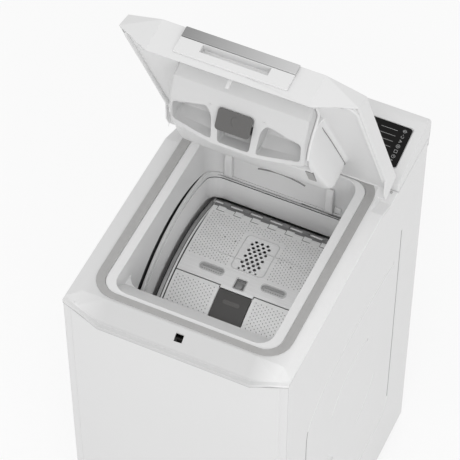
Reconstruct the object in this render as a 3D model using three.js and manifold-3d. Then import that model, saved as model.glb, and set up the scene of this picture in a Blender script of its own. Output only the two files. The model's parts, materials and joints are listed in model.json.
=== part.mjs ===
// Slim top load washing machine, in millimetres.
// X points to the right seen from the front, Y points to the back, Z points up.
// The origin is on the floor under the middle of the cabinet, and the lid stands open.
import * as THREE from "three";
import { mergeVertices } from "three/addons/utils/BufferGeometryUtils.js";
import Module from "manifold-3d";

const wasm = await Module();
wasm.setup();

// Cabinet
const cabinetWidth = 400;
const cabinetDepth = 590;
const consoleReach = 10;
const deckTop = 861;
const footHeight = 12;
const sheet = 1.5;
const plastic = 3;
const fit = 0.3;
const halfWidth = cabinetWidth / 2;
const frontY = -(cabinetDepth + consoleReach) / 2;
const sideRear = frontY + cabinetDepth;
const consoleRear = sideRear + consoleReach;
const railDrop = 16;
const frontDip = 28;
const lockY = frontY + 25.4;
const lockDrop = 19;
const bowStart = 64.5;
const bowX = halfWidth - bowStart;
const bowDepth = 7;
const flange = 20;
const footX = halfWidth - 40;
const footY = frontY + 50;
const consoleFront = 156.5;
const consoleRise = 27.5;
const consoleFlat = 22;

// Tub and drum, both round the same level axis
const drumRadius = 236;
const drumSheet = 1.2;
const drumHalf = 127;
const axisY = 14;
const axisZ = deckTop - 377;
const tubGap = 18;
const tubWall = 4;
const tubInner = drumRadius + tubGap;
const tubOuter = tubInner + tubWall;
const tubHalf = drumHalf + 10;
const tubEnd = tubHalf + tubWall;
const roundSides = 48;
const shaftRadius = 14;
const bossLength = 21;
const pulleyRadius = 130;
const pulleyWidth = 12;
const pulleyX = tubEnd + bossLength + 4;
const beltThick = 2.5;
const motorY = 120;
const motorZ = 140;
const motorRadius = 55;
const motorPulleyRadius = 10;

// Loading mouth
const mouthHalf = 134;
const mouthFront = -186;
const mouthRear = 131;
const collarWall = 10;
const archRadius = 230;
const collarArchZ = axisZ + 66;
const throatArchY = -5;
const throatArchZ = axisZ + 87;
const throatHalf = mouthHalf + 5.5;
const throatWall = 2.5;
const throatFront = -238;
const throatRear = mouthRear + 2.5;
const throatNeck = mouthFront - 2;
const throatCorner = 26;
const collarCorner = 24;
const neckZ = deckTop - 46;
const sealHalf = 173;
const sealWidth = 15.5;
const sealFront = -258;
const sealRear = 152;
const bellowsTop = axisZ + 328;
const bellowsBottom = axisZ + 236.5;
const collarLow = axisZ + 245;
const collarFoot = axisZ + Math.sqrt(tubInner ** 2 - (mouthFront - collarWall - axisY) ** 2) - 6.6;

// Drum door
const openingHalf = 116;
const openingFront = -158;
const openingRear = 121;
const flapHalf = 114.5;
const flapThick = 2;
const splitY = -53;
const tongueHalf = 30.5;
const tongueReach = 4.5;
const rearPinY = 109;
const rearPinProud = 7.313;
const frontPinY = -147.3;
const frontPinProud = 3.102;
const rearPinZ = drumArc(rearPinY, drumRadius + rearPinProud);
const frontPinZ = drumArc(frontPinY, drumRadius + frontPinProud);
const pinRadius = 2;
const knuckleRadius = 4.5;
const knucklePitch = 37.7;
const knuckleWidth = 13;
const buttonHalf = 30;
const buttonFront = -110;

// Lid, given as it lies closed, and turned open round its hinge
const hingeY = 152.4;
const hingeZ = deckTop + 43.8;
const lidOpen = 65.7;
const lidTop = deckTop + 35;
const lidEdge = deckTop + 3.2;
const lidLip = deckTop - 25;
const lidRear = 146;
const lidSkirtTopY = frontY + 20;
const lidWall = 3;
const hingeX = 155;
const hingePin = 3;
const hingeEye = 6.5;
const linerZ = deckTop + 5;
const dispenserHalf = 119.5;
const dispenserFront = -190;
const dispenserRear = -64;
const dividerX = 35;

// Suspension
const springX = halfWidth - 22;
const springFrontY = -170;
const springRearY = 185;
const springLow = axisZ + 129;
const springHigh = axisZ + 302;
const springRadius = 9;
const springWire = 1.6;
const springTurns = 4;
const damperX = 105;
const damperY = -120;
const damperRadius = 12;
const damperRod = 5;

// Lower services
const floorTop = footHeight + 4.8;
const filterX = 70;
const filterZ = 85;
const filterRadius = 24;
const doorHalf = 50;
const doorLow = 45;
const doorHigh = 125;
const hoseRadius = 9.5;
const hoseX = 160;
const hoseZ = axisZ + 306;
const inletX = -150;
const inletZ = axisZ + 286;
const glandX = -150;
const glandZ = axisZ + 216;

const white = paint(0xdfe0e2, 0.42);
const shade = paint(0xd8d9da, 0.5);
const zinc = new THREE.MeshStandardMaterial({ color: 0xb4b6b8, roughness: 0.45, metalness: 0.8 });
const steel = new THREE.MeshStandardMaterial({ color: 0xb8b8ba, roughness: 0.38, metalness: 0.9 });
const brushed = new THREE.MeshStandardMaterial({ color: 0x9a9a98, roughness: 0.4, metalness: 0.9 });
const rubber = paint(0xb0b0ac, 0.75);
const tubPlastic = paint(0xc4c5c6, 0.6);
const dark = paint(0x4c4846, 0.5);
const black = paint(0x141413, 0.08);
const stone = paint(0x8d8b86, 0.9);
const beltRubber = paint(0x222222, 0.8);
const circuit = paint(0x2c5a3a, 0.6);

function paint(color, roughness) {
  return new THREE.MeshStandardMaterial({ color, roughness, metalness: 0 });
}

// ---- Solids from outlines ----

function solidOf(geometry) {
  const plain = geometry.index ? geometry.toNonIndexed() : geometry.clone();
  plain.deleteAttribute("normal");
  plain.deleteAttribute("uv");
  const merged = mergeVertices(plain, 1e-4);
  const vertProperties = merged.attributes.position.array;
  const triVerts = new Uint32Array(merged.index.array);
  const solid = new wasm.Manifold(new wasm.Mesh({ numProp: 3, vertProperties, triVerts }));
  if (solid.volume() >= 0) return solid;
  for (let i = 0; i < triVerts.length; i += 3) {
    const held = triVerts[i];
    triVerts[i] = triVerts[i + 1];
    triVerts[i + 1] = held;
  }
  return new wasm.Manifold(new wasm.Mesh({ numProp: 3, vertProperties, triVerts }));
}

function geometryOf(solid) {
  const mesh = solid.getMesh();
  const points = [];
  for (let i = 0; i < mesh.vertProperties.length; i += mesh.numProp) {
    points.push(mesh.vertProperties[i], mesh.vertProperties[i + 1], mesh.vertProperties[i + 2]);
  }
  const geometry = new THREE.BufferGeometry();
  geometry.setAttribute("position", new THREE.Float32BufferAttribute(points, 3));
  geometry.setIndex(Array.from(mesh.triVerts));
  geometry.computeVertexNormals();
  return geometry;
}

const clean = (geometry) => geometryOf(solidOf(geometry));

function join(first, ...others) {
  return geometryOf(others.reduce((sum, next) => sum.add(solidOf(next)), solidOf(first)));
}

function cut(first, ...others) {
  return geometryOf(others.reduce((rest, next) => rest.subtract(solidOf(next)), solidOf(first)));
}

function overlap(first, second) {
  return geometryOf(solidOf(first).intersect(solidOf(second)));
}

function extrude(outline, length, holes = []) {
  const shape = new THREE.Shape(outline.map(([x, y]) => new THREE.Vector2(x, y)));
  for (const hole of holes) {
    shape.holes.push(new THREE.Path(hole.map(([x, y]) => new THREE.Vector2(x, y))));
  }
  return new THREE.ExtrudeGeometry(shape, { depth: length, bevelEnabled: false, steps: 1 });
}

// An outline of [y, z] points, drawn out from x0 to x1.
function alongX(outline, x0, x1, holes) {
  const turn = new THREE.Matrix4().makeBasis(
    new THREE.Vector3(0, 1, 0),
    new THREE.Vector3(0, 0, 1),
    new THREE.Vector3(1, 0, 0),
  );
  return extrude(outline, x1 - x0, holes).applyMatrix4(turn).translate(x0, 0, 0);
}

// An outline of [x, z] points, drawn out from y0 to y1.
function alongY(outline, y0, y1, holes) {
  const turn = new THREE.Matrix4().makeBasis(
    new THREE.Vector3(1, 0, 0),
    new THREE.Vector3(0, 0, 1),
    new THREE.Vector3(0, -1, 0),
  );
  return extrude(outline, y1 - y0, holes).applyMatrix4(turn).translate(0, y1, 0);
}

// An outline of [x, y] points, drawn out from z0 to z1.
function alongZ(outline, z0, z1, holes) {
  return extrude(outline, z1 - z0, holes).translate(0, 0, z0);
}

function block(x0, x1, y0, y1, z0, z1) {
  const size = [Math.abs(x1 - x0), Math.abs(y1 - y0), Math.abs(z1 - z0)];
  return new THREE.BoxGeometry(...size).translate((x0 + x1) / 2, (y0 + y1) / 2, (z0 + z1) / 2);
}

function arc(u, v, radius, from, to, steps) {
  const points = [];
  for (let i = 0; i <= steps; i++) {
    const a = THREE.MathUtils.degToRad(from + ((to - from) * i) / steps);
    points.push([u + radius * Math.cos(a), v + radius * Math.sin(a)]);
  }
  return points;
}

const circle = (u, v, radius, sides = 24) => arc(u, v, radius, 0, 360, sides).slice(0, -1);

function roundRect(u0, u1, v0, v1, radius, steps = 5) {
  return [
    ...arc(u1 - radius, v0 + radius, radius, -90, 0, steps),
    ...arc(u1 - radius, v1 - radius, radius, 0, 90, steps),
    ...arc(u0 + radius, v1 - radius, radius, 90, 180, steps),
    ...arc(u0 + radius, v0 + radius, radius, 180, 270, steps),
  ];
}

// A skin over [x, outline] sections whose outlines of [y, z] points run anticlockwise seen from +X.
// Its faces are split the same way either side of the middle.
function loftX(sections) {
  const count = sections[0][1].length;
  const points = sections.flatMap(([x, outline]) => outline.flatMap(([y, z]) => [x, y, z]));
  const index = [];
  for (let i = 0; i + 1 < sections.length; i++) {
    for (let j = 0; j < count; j++) {
      const a = i * count + j;
      const b = i * count + ((j + 1) % count);
      if (sections[i][0] < 0) index.push(a, b, a + count, b, b + count, a + count);
      else index.push(a, b, b + count, a, b + count, a + count);
    }
  }
  const cap = (section, flip) => {
    const outline = sections[section][1].map(([y, z]) => new THREE.Vector2(y, z));
    for (const [a, b, c] of THREE.ShapeUtils.triangulateShape(outline, [])) {
      const at = section * count;
      index.push(at + a, at + (flip ? c : b), at + (flip ? b : c));
    }
  };
  cap(0, true);
  cap(sections.length - 1, false);
  const geometry = new THREE.BufferGeometry();
  geometry.setAttribute("position", new THREE.Float32BufferAttribute(points, 3));
  geometry.setIndex(index);
  return geometry;
}

// The same outline either side of the middle: entries are [|x|, outline], widest first.
function mirroredLoft(entries) {
  const left = entries.map(([x, outline]) => [-x, outline]);
  return loftX([...left, ...entries.slice().reverse()]);
}

function tube(points, radius, steps, sides = 8) {
  const path = new THREE.CatmullRomCurve3(points.map((p) => new THREE.Vector3(...p)));
  const shape = new THREE.Shape(circle(0, 0, radius, sides).map(([x, y]) => new THREE.Vector2(x, y)));
  return clean(new THREE.ExtrudeGeometry(shape, { steps, extrudePath: path, bevelEnabled: false }));
}

// Height of the drum's skin at y.
function drumArc(y, radius = drumRadius) {
  return axisZ + Math.sqrt(radius ** 2 - (y - axisY) ** 2);
}

// ---- Scene graph ----

const machine = new THREE.Group();
const lid = new THREE.Group();
lid.position.set(0, hingeY, hingeZ);
lid.rotation.x = -THREE.MathUtils.degToRad(lidOpen);
machine.add(lid);

function add(name, geometry, material) {
  const mesh = new THREE.Mesh(geometry, material);
  mesh.name = name;
  machine.add(mesh);
}

function addToLid(name, geometry, material) {
  const mesh = new THREE.Mesh(geometry.translate(0, -hingeY, -hingeZ), material);
  mesh.name = name;
  lid.add(mesh);
}

const sideName = (side) => (side < 0 ? "left" : "right");

// ---- Cabinet ----

function sidePanel(side) {
  const low = footHeight;
  const high = deckTop - plastic - fit;
  const outline = [
    [frontY + bowDepth + 2.5, low],
    [sideRear, low],
    [sideRear, high - railDrop],
    [122, high - railDrop],
    [83, high],
    [frontY + 42, high],
    [frontY + 38, high - 1.5],
    [frontY + bowDepth + 2.5, high - 1.5],
  ];
  const outer = side * halfWidth;
  const inner = side * (halfWidth - sheet);
  const skin = alongX(outline, Math.min(outer, inner), Math.max(outer, inner));
  const lip = side * (halfWidth - flange);
  const parts = [
    block(outer, lip, frontY + bowDepth + 2.5, frontY + bowDepth + 4, low, high - frontDip - 12),
    block(outer, lip, sideRear - sheet, sideRear, low, high - railDrop),
    block(outer, lip, frontY + bowDepth + 3, sideRear - 1, low, low + sheet),
  ];
  for (const y of [springFrontY, springRearY]) {
    const reach = side * (springX - 10);
    parts.push(block(outer, reach, y - 10, y + 10, springHigh + fit, springHigh + 2.3));
    parts.push(block(inner, reach, y - 1, y + 1, springHigh + 2, springHigh + 16));
  }
  return join(skin, ...parts);
}

function frontPanel() {
  const inner = frontY + sheet;
  const back = frontY + bowDepth;
  const side = halfWidth - 1;
  const outline = [
    [-bowX, frontY],
    [bowX, frontY],
    [side - 5, back - 0.7],
    [side, back + 2.2],
    [side - 2, back + 2.2],
    [side - 6, back + sheet - 0.7],
    [bowX, inner],
    [-bowX, inner],
    [-side + 6, back + sheet - 0.7],
    [-side + 2, back + 2.2],
    [-side, back + 2.2],
    [-side + 5, back - 0.7],
  ];
  const lip = deckTop - frontDip - 6.3;
  const crest = [
    [-halfWidth, deckTop - 6.3],
    [-bowX, lip],
    [bowX, lip],
    [halfWidth, deckTop - 6.3],
    [halfWidth, deckTop + 40],
    [-halfWidth, deckTop + 40],
  ];
  const door = block(filterX - doorHalf, filterX + doorHalf, frontY - 5, frontY + 5, doorLow, doorHigh);
  return cut(alongZ(outline, footHeight + 2, deckTop), alongY(crest, frontY - 5, frontY + 30), door);
}

function rearPanel() {
  const y1 = sideRear - sheet - fit;
  const y0 = y1 - sheet;
  const half = halfWidth - sheet - fit;
  const top = deckTop - plastic - railDrop - 0.6;
  const plate = block(-half, half, y0, y1, footHeight + 5, top);
  const gland = alongY(circle(glandX, glandZ, 13, 16), y0 - 6, sideRear + 5);
  return cut(
    join(plate, gland),
    alongY(circle(inletX, inletZ, 15.3), y0 - 5, y1 + 5),
    alongY(circle(hoseX, hoseZ, hoseRadius + 2, 16), y0 - 5, y1 + 5),
    alongY(circle(glandX, glandZ, 5, 12), y0 - 7, sideRear + 6),
  );
}

function baseTray() {
  const x = halfWidth - sheet - fit;
  const y0 = frontY + bowDepth + 4.6;
  const y1 = sideRear - 2 * sheet - 2 * fit - 0.4;
  const low = footHeight + sheet + fit;
  const rim = low + 22;
  const parts = [];
  for (const side of [-1, 1]) {
    parts.push(alongZ(circle(side * footX, sideRear - 35, 20, 20), 0, low + 1));
    parts.push(alongZ(circle(side * footX, footY, 13, 20), low, low + 20));
    const x0 = side * damperX - 16;
    parts.push(block(x0, x0 + 32, damperY - 16, damperY + 16, low, floorTop + 6));
  }
  parts.push(block(filterX - 36, filterX + 36, -272, -205, low, filterZ - 31));
  const tray = cut(
    block(-x, x, y0, y1, low, rim),
    block(-x + plastic, x - plastic, y0 + plastic, y1 - plastic, floorTop, rim + 5),
  );
  const holes = [-1, 1].map((side) => alongZ(circle(side * footX, footY, 6.3, 16), 0, 60));
  return cut(join(tray, ...parts), ...holes);
}

function frontFoot(side) {
  const x = side * footX;
  return join(alongZ(circle(x, footY, 19, 20), 0, 9), alongZ(circle(x, footY, 6, 16), 5, 36));
}

function topDeck() {
  const low = deckTop - plastic;
  const rear = 156;
  const dropped = [
    [84, low],
    [123, low - railDrop],
    [rear, low - railDrop],
    [rear, deckTop - railDrop],
    [125, deckTop - railDrop],
    [86, deckTop],
  ];
  const level = [
    [150, low],
    [rear - 2.5, low],
    [rear - 2.5, low - railDrop],
    [rear, low - railDrop],
    [rear, deckTop],
    [151, deckTop],
  ];
  const lip = deckTop - frontDip;
  const dipped = [
    [frontY, lip - 6],
    [frontY + 2.5, lip - 6],
    [frontY + 2.5, lip - 3],
    [frontY + 11, lip - 3],
    [frontY + 12.5, lip + 2],
    [frontY + 39, low],
  ];
  const dippedTop = [
    [frontY + 38, deckTop],
    [frontY + 9.5, lip + 4.5],
    [frontY + 8, lip + 0.6],
    [frontY, lip],
  ];
  const back = frontY + bowDepth;
  const raised = [
    [back, deckTop - 6],
    [back + 2, deckTop - 6],
    [back + 2, low - 0.2],
    [back + 7, low - 0.1],
    [back + 9, low - 0.05],
    [frontY + 39, low],
  ];
  const raisedTop = [
    [frontY + 38, deckTop],
    [back + 9, deckTop],
    [back + 7, deckTop],
    [back, deckTop],
  ];
  const blend = (a, b, k) => a.map(([y, z], i) => [y + (b[i][0] - y) * k, z + (b[i][1] - z) * k]);
  const at = (x) => Math.max(0, (halfWidth - x) / bowStart);
  const section = (x, rearPart) => {
    const k = Math.min(1, at(x));
    return [x, [...blend(raised, dipped, k), ...rearPart, ...blend(raisedTop, dippedTop, k)]];
  };
  const skin = mirroredLoft([
    section(halfWidth, dropped),
    section(178, dropped),
    section(175, level),
    section(bowX, level),
  ]);
  const edge = sealHalf - sealWidth - fit;
  const hole = roundRect(-edge, edge, sealFront + sealWidth - 4.3, sealRear - sealWidth + 2.3, 30);
  const slot = block(-7, 7, lockY - 5.5, lockY + 5.5, deckTop - 40, deckTop + 5);
  return cut(skin, alongZ(hole, deckTop - 60, deckTop + 10), slot);
}

function lidSeal() {
  const outer = roundRect(-sealHalf, sealHalf, sealFront, sealRear, 42, 6);
  const inner = sealHalf - sealWidth;
  const hole = roundRect(-inner, inner, sealFront + sealWidth - 4, sealRear - sealWidth + 2, 30, 6);
  return alongZ(outer, deckTop + fit, deckTop + 1.8, [hole]);
}

function loadingThroat() {
  const edge = sealHalf - sealWidth - 2 * fit;
  const rim = roundRect(-edge, edge, sealFront + sealWidth - 4 + fit, sealRear - sealWidth + 2 - fit, 29.5);
  const profile = (grow) => [
    [throatFront - grow, deckTop + 1],
    [throatFront - grow, deckTop - 2 - grow],
    [throatNeck - grow, neckZ - grow],
    [throatNeck - grow, axisZ],
    [throatRear + grow, axisZ],
    [throatRear + grow, deckTop + 1],
  ];
  const plan = (grow, front) => {
    const x = throatHalf + grow;
    return roundRect(-x, x, front - grow, throatRear + grow, throatCorner + grow);
  };
  const body = (grow) =>
    join(
      overlap(
        alongX(profile(grow), -throatHalf - grow, throatHalf + grow),
        alongZ(plan(grow, throatFront), neckZ - grow, deckTop + 0.9),
      ),
      alongZ(plan(grow, throatNeck), axisZ, neckZ - grow + 1),
    );
  const shell = join(alongZ(rim, deckTop - plastic, deckTop), body(throatWall));
  const inside = body(0);
  const arch = alongX(circle(throatArchY, throatArchZ, archRadius, 72), -200, 200);
  const floor = block(-200, 200, -300, 300, axisZ - 50, axisZ + 251);
  const above = block(-200, 200, -300, 300, deckTop, deckTop + 20);
  return cut(shell, inside, arch, floor, above);
}

// The mouth of the tub seen from above, grown outwards all round.
function collarOutline(grow) {
  const x = mouthHalf + grow;
  return roundRect(-x, x, mouthFront - grow, mouthRear + grow, collarCorner + grow, 4);
}

function mouthBellows() {
  const inner = collarOutline(collarWall + 0.5);
  const ring = (grow, z0, z1) => alongZ(collarOutline(collarWall + 0.5 + grow), z0, z1, [inner]);
  const x = throatHalf + throatWall + fit;
  const [y0, y1] = [throatNeck - throatWall - fit, throatRear + throatWall + fit];
  const neck = roundRect(-x, x, y0, y1, throatCorner + throatWall + fit);
  const top = alongZ(collarOutline(collarWall + 2.5), bellowsTop - 4, bellowsTop, [neck]);
  const ribs = [30, 56].map((up) => ring(6, bellowsBottom + up, bellowsBottom + up + 8));
  const overTub = alongX(circle(axisY, axisZ, tubOuter + fit, roundSides), -tubEnd - fit, tubEnd + fit);
  return cut(join(ring(2, bellowsBottom, bellowsTop - 2), top, ...ribs), overTub);
}

function consoleHousing() {
  const bottom = deckTop - plastic - railDrop + fit;
  const outline = [
    [consoleFront, bottom],
    [sideRear + 0.4, bottom],
    [sideRear + 0.4, bottom - 23],
    [sideRear + 4, bottom - 23],
    [consoleRear, bottom + 8],
    [consoleRear, deckTop + 17],
    [consoleRear - 8, deckTop + 29],
    [consoleRear - consoleFlat, deckTop + 30],
    [consoleFront, deckTop + 2.5],
  ];
  const hollow = [
    [160, bottom - 40],
    [sideRear - 2, bottom - 40],
    [sideRear - 2, deckTop + 22],
    [consoleRear - 24, deckTop + 25],
    [160, deckTop - 1.4],
  ];
  const shell = cut(
    alongX(outline, -halfWidth, halfWidth),
    alongX(hollow, -halfWidth + plastic, halfWidth - plastic),
  );
  return cut(shell, alongX(panelStrip(183, 261, 2.2, -3), -182.4, 182.4));
}

// A strip lying along the console's sloping face, from depth "deep" under it to depth "shallow".
function panelStrip(y0, y1, deep, shallow) {
  const slope = Math.atan2(consoleRise, consoleRear - consoleFlat - consoleFront);
  const at = (y, depth) => [
    y + depth * Math.sin(slope),
    deckTop + 2.5 + (y - consoleFront) * Math.tan(slope) - depth * Math.cos(slope),
  ];
  return [at(y0, deep), at(y1, deep), at(y1, shallow), at(y0, shallow)];
}

function controlBoard() {
  const board = alongX(panelStrip(192, 254, 6.4, 4.9), -125, 125);
  const chips = [-80, -30, 20, 75].map((x) => alongX(panelStrip(204, 232, 11, 6), x, x + 26));
  return join(board, ...chips);
}

function lidLock() {
  const body = join(
    block(-30, 30, lockY - 17, lockY + 18, deckTop - 66, deckTop - 36),
    block(-12, 12, lockY - 4.5, lockY + 4.5, deckTop - 38, deckTop - lockDrop),
  );
  return cut(body, block(-4.5, 4.5, lockY - 3.5, lockY + 3.5, deckTop - 58, deckTop));
}

function hingeBracket(side) {
  const slope = consoleRise / (consoleRear - consoleFlat - consoleFront);
  const foot = (y) => deckTop + 2.5 + (y - consoleFront) * slope + fit;
  const arm = [
    [158, foot(158)],
    [182, foot(182)],
    [160, hingeZ - 2],
    [151, hingeZ - 2],
  ];
  const x = side * hingeX;
  const parts = [alongX(circle(hingeY, hingeZ, hingePin, 12), x - 8.8, x + 8.8)];
  for (const at of [x - 9, x + 5.3]) {
    parts.push(alongX(circle(hingeY, hingeZ, hingeEye, 14), at, at + 3.7));
    parts.push(alongX(arm, at, at + 3.7));
  }
  const base = [
    [165, foot(165)],
    [182, foot(182)],
    [179, foot(182) + 4],
    [165, foot(165) + 4],
  ];
  parts.push(alongX(base, x - 9, x + 9));
  return join(...parts);
}

// ---- Lid ----

// A point on the front skirt: "up" along its face from the lip, "out" away from it.
function skirtPoint(up, out) {
  const dy = lidSkirtTopY - frontY;
  const dz = lidTop - lidLip;
  const length = Math.hypot(dy, dz);
  const [fy, fz] = [dy / length, dz / length];
  return [frontY + up * fy - out * fz, lidLip + up * fz + out * fy];
}

function lidShellBody(inset) {
  const rearLow = deckTop - 13;
  const roof = inset ? lidTop - inset : lidTop;
  const low = inset ? -40 : 0;
  const rear = lidRear - inset;
  const corner = [
    [frontY + 28 + inset, lidEdge + 2.4 + low],
    [86, lidEdge + low],
    [122, rearLow + low],
    [rear, rearLow + low],
    [rear, roof - 3],
    [frontY + 47 + inset, roof - 3],
    ...(inset ? [[frontY + 28 + inset, lidEdge + 2.4]] : []),
  ];
  const k = inset * 1.05;
  const middle = [
    [frontY + k, lidLip + low],
    [86, lidEdge + low],
    [122, rearLow + low],
    [rear, rearLow + low],
    [rear, roof],
    [lidSkirtTopY + k - (inset * 20) / 60, roof],
    ...(inset ? [[frontY + k, lidLip]] : []),
  ];
  return mirroredLoft([
    [halfWidth - inset, corner],
    [bowX - inset * 0.3, middle],
  ]);
}

function lidOuter() {
  const shell = cut(lidShellBody(0), lidShellBody(lidWall));
  const notch = block(-179, 179, 80, lidRear + 5, deckTop - 40, lidEdge + 0.3);
  const lugs = [-1, 1].map((side) => {
    const x = side * hingeX;
    const web = [
      [134, lidTop - 2],
      [lidRear, lidTop - 2],
      [hingeY + 5, hingeZ - 3.5],
      [hingeY - 2, hingeZ + 6],
    ];
    const lug = join(
      alongX(circle(hingeY, hingeZ, hingeEye, 14), x - 5, x + 5),
      alongX(web, x - 5, x + 5),
    );
    return cut(lug, alongX(circle(hingeY, hingeZ, hingePin + fit, 12), x - 9, x + 9));
  });
  const hook = [
    skirtPoint(12, -1),
    [lockY - 4.5, deckTop - 10],
    [lockY - 2, deckTop - 13.5],
    [lockY - 2, deckTop - 34],
    [lockY + 1.5, deckTop - 34],
    [lockY + 1.5, deckTop - 4],
    skirtPoint(22, -1),
  ];
  const pocket = [skirtPoint(23.5, -8), skirtPoint(42.6, -8), skirtPoint(42.6, 4), skirtPoint(23.5, 4)];
  // The lip is trimmed to clear the deck's folded corners when the lid is down.
  const deck = topDeck().translate(0, -0.6, 0.6);
  const left = overlap(deck, block(-halfWidth - 1, -130, frontY, frontY + 60, lidLip - 2, deckTop + 10));
  const right = overlap(deck, block(130, halfWidth + 1, frontY, frontY + 60, lidLip - 2, deckTop + 10));
  return cut(join(shell, ...lugs, alongX(hook, -3, 3)), notch, alongX(pocket, -58.8, 58.8), left, right);
}

function lidLiner() {
  const x = halfWidth - lidWall - fit;
  const outline = [
    [-x, lidRear - lidWall - fit],
    [-x, frontY + 43],
    [-bowX + 1, frontY + 19],
    [bowX - 1, frontY + 19],
    [x, frontY + 43],
    [x, lidRear - lidWall - fit],
  ];
  const inner = dispenserHalf + 0.5;
  const bulge = (inset) =>
    mirroredLoft([
      [130 - inset, bulgeOutline(deckTop - 36, deckTop - 12, inset)],
      [45, bulgeOutline(deckTop - 66, deckTop - 20, inset)],
    ]);
  const body = join(alongZ(outline, linerZ, linerZ + plastic), bulge(0));
  return cut(
    body,
    bulge(2.5),
    block(-inner, inner, dispenserFront - 0.5, dispenserRear + 0.5, deckTop - 100, deckTop + 40),
    block(-62, 62, frontY, frontY + 27, deckTop - 20, deckTop + 40),
    block(-6, 6, frontY, frontY + 27, deckTop - 20, deckTop + 40),
  );
}

function bulgeOutline(low, lift, inset) {
  const front = dispenserRear - 3;
  return [
    [front + inset, low + inset],
    [10, low + 8 + inset],
    [62 - inset, lift + inset],
    [70 - inset, linerZ + (inset ? plastic + 2 : 1)],
    [front + inset, linerZ + (inset ? plastic + 2 : 1)],
  ];
}

function handlePlate() {
  const face = (a, b, inner, outer) => [
    skirtPoint(a, inner),
    skirtPoint(b, inner),
    skirtPoint(b, outer),
    skirtPoint(a, outer),
  ];
  const plate = alongX(face(12.5, 42.4, fit, 4.3), -94.5, 94.5);
  const cup = alongX(face(24, 42.2, -7.5, 2), -58.4, 58.4);
  const hollow = alongX(face(26, 43, -5.7, 8), -56.5, 56.5);
  return cut(join(plate, cup), hollow);
}

function handleBar() {
  const outline = [
    skirtPoint(42.8, fit),
    skirtPoint(62.4, fit),
    skirtPoint(62.4, 4),
    skirtPoint(60.5, 5.5),
    skirtPoint(42.8, 5.5),
  ];
  return clean(alongX(outline, -94.5, 94.5));
}

// A point on the dispenser's sloping face: "down" from its top edge, "deep" into the block.
function facePoint(down, deep) {
  const [ty, tz] = [0.787, -0.617];
  return [-178 + down * ty - deep * tz, deckTop - 37 + down * tz + deep * ty];
}

function dispenserBody() {
  const top = deckTop + 19;
  const middle = [
    [-118, deckTop - 84],
    [dispenserRear, deckTop - 66],
    [dispenserRear, top],
    [dispenserFront, top],
    [dispenserFront, deckTop - 18],
    [-178, deckTop - 37],
  ];
  const end = [
    [-116, deckTop - 69],
    [dispenserRear, deckTop - 49],
    [dispenserRear, top],
    [dispenserFront, top],
    [dispenserFront, deckTop - 18],
    [-162, deckTop - 48],
  ];
  const pocket = (bottom) => [
    facePoint(4, -16),
    facePoint(bottom, -16),
    facePoint(bottom, 26),
    facePoint(bottom - 15, 52),
    facePoint(4, 52),
  ];
  const back = [
    [dispenserFront + plastic, top + 5],
    [dispenserFront + plastic, deckTop + 7],
    [-139, deckTop + 7],
    [-107, deckTop - 20],
    [-107, deckTop - 58],
    [dispenserRear - plastic, deckTop - 44],
    [dispenserRear - plastic, top + 5],
  ];
  return cut(
    mirroredLoft([
      [dispenserHalf, end],
      [dividerX, middle],
    ]),
    alongX(pocket(60), -dispenserHalf + 6, -dividerX - 5),
    alongX(pocket(68), -dividerX + 5, dividerX - 5),
    alongX(pocket(60), dividerX + 5, dispenserHalf - 6),
    alongX(back, -dispenserHalf + plastic, -dividerX - 2),
    alongX(back, -dividerX + 2, dividerX - 2),
    alongX(back, dividerX + 2, dispenserHalf - plastic),
  );
}

function liquidFlap() {
  const leaf = [facePoint(1, -4), facePoint(33, -13), facePoint(33.5, -11), facePoint(1.6, -0.6)];
  return clean(alongX(leaf, -29.3, 29.3));
}

// ---- Tub ----

function tubHalfShell(side) {
  const s = side * 0.15;
  const span = (a, b) => [Math.min(side * a, side * b), Math.max(side * a, side * b)];
  const wall = (outline, a, b) => alongX(outline, ...span(a, b));
  const near = Math.abs(s);
  const collarBox = alongZ(collarOutline(collarWall), collarFoot, axisZ + 320);
  const arch = join(
    alongX(circle(axisY, collarArchZ, archRadius, 72), -200, 200),
    block(-200, 200, -300, 300, axisZ, collarLow),
  );
  const lugs = [springFrontY, springRearY].map((y) =>
    block(side * (tubEnd - 2), side * (springX + 7), y - 10, y + 10, springLow - 8, springLow - fit),
  );
  const webs = [springFrontY, springRearY].map((y) =>
    block(side * (tubEnd - 2), side * (springX + 7), y - 2, y + 2, springLow - 30, springLow - 6),
  );
  const damperLug = block(
    side * (damperX - 16),
    side * (damperX + 16),
    damperY - 14,
    damperY + 14,
    axisZ - 240,
    axisZ - 150,
  );
  const motorLug = block(side * 76, side * 96, 94, 126, motorZ + 82, axisZ - 150);
  const sump = block(s, side * 100, axisY - 60, axisY + 60, axisZ - 288, axisZ - 200);
  const round = (radius) => circle(axisY, axisZ, radius, roundSides);
  const parts = [wall(round(tubOuter), near, tubEnd), overlap(collarBox, arch), sump];
  parts.push(...lugs, ...webs, damperLug, motorLug);
  if (side > 0) parts.push(alongZ(circle(40, axisY, 14, 20), axisZ - 304, axisZ - 280));
  const hollow = [
    alongX(round(tubInner), side < 0 ? -tubHalf : -1, side < 0 ? 1 : tubHalf),
    alongZ(collarOutline(0), axisZ, axisZ + 400),
    block(s - side, side * 97, axisY - 57, axisY + 57, axisZ - 285, axisZ - 150),
    wall(circle(axisY, axisZ, 34.6, 20), tubHalf - 5, tubEnd + 5),
  ];
  if (side > 0) hollow.push(alongZ(circle(40, axisY, 11, 20), axisZ - 320, axisZ - 270));
  const trim = block(s, -side * 2 * halfWidth, -400, 400, 0, 2 * deckTop);
  return cut(join(...parts), ...hollow, trim);
}

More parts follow.
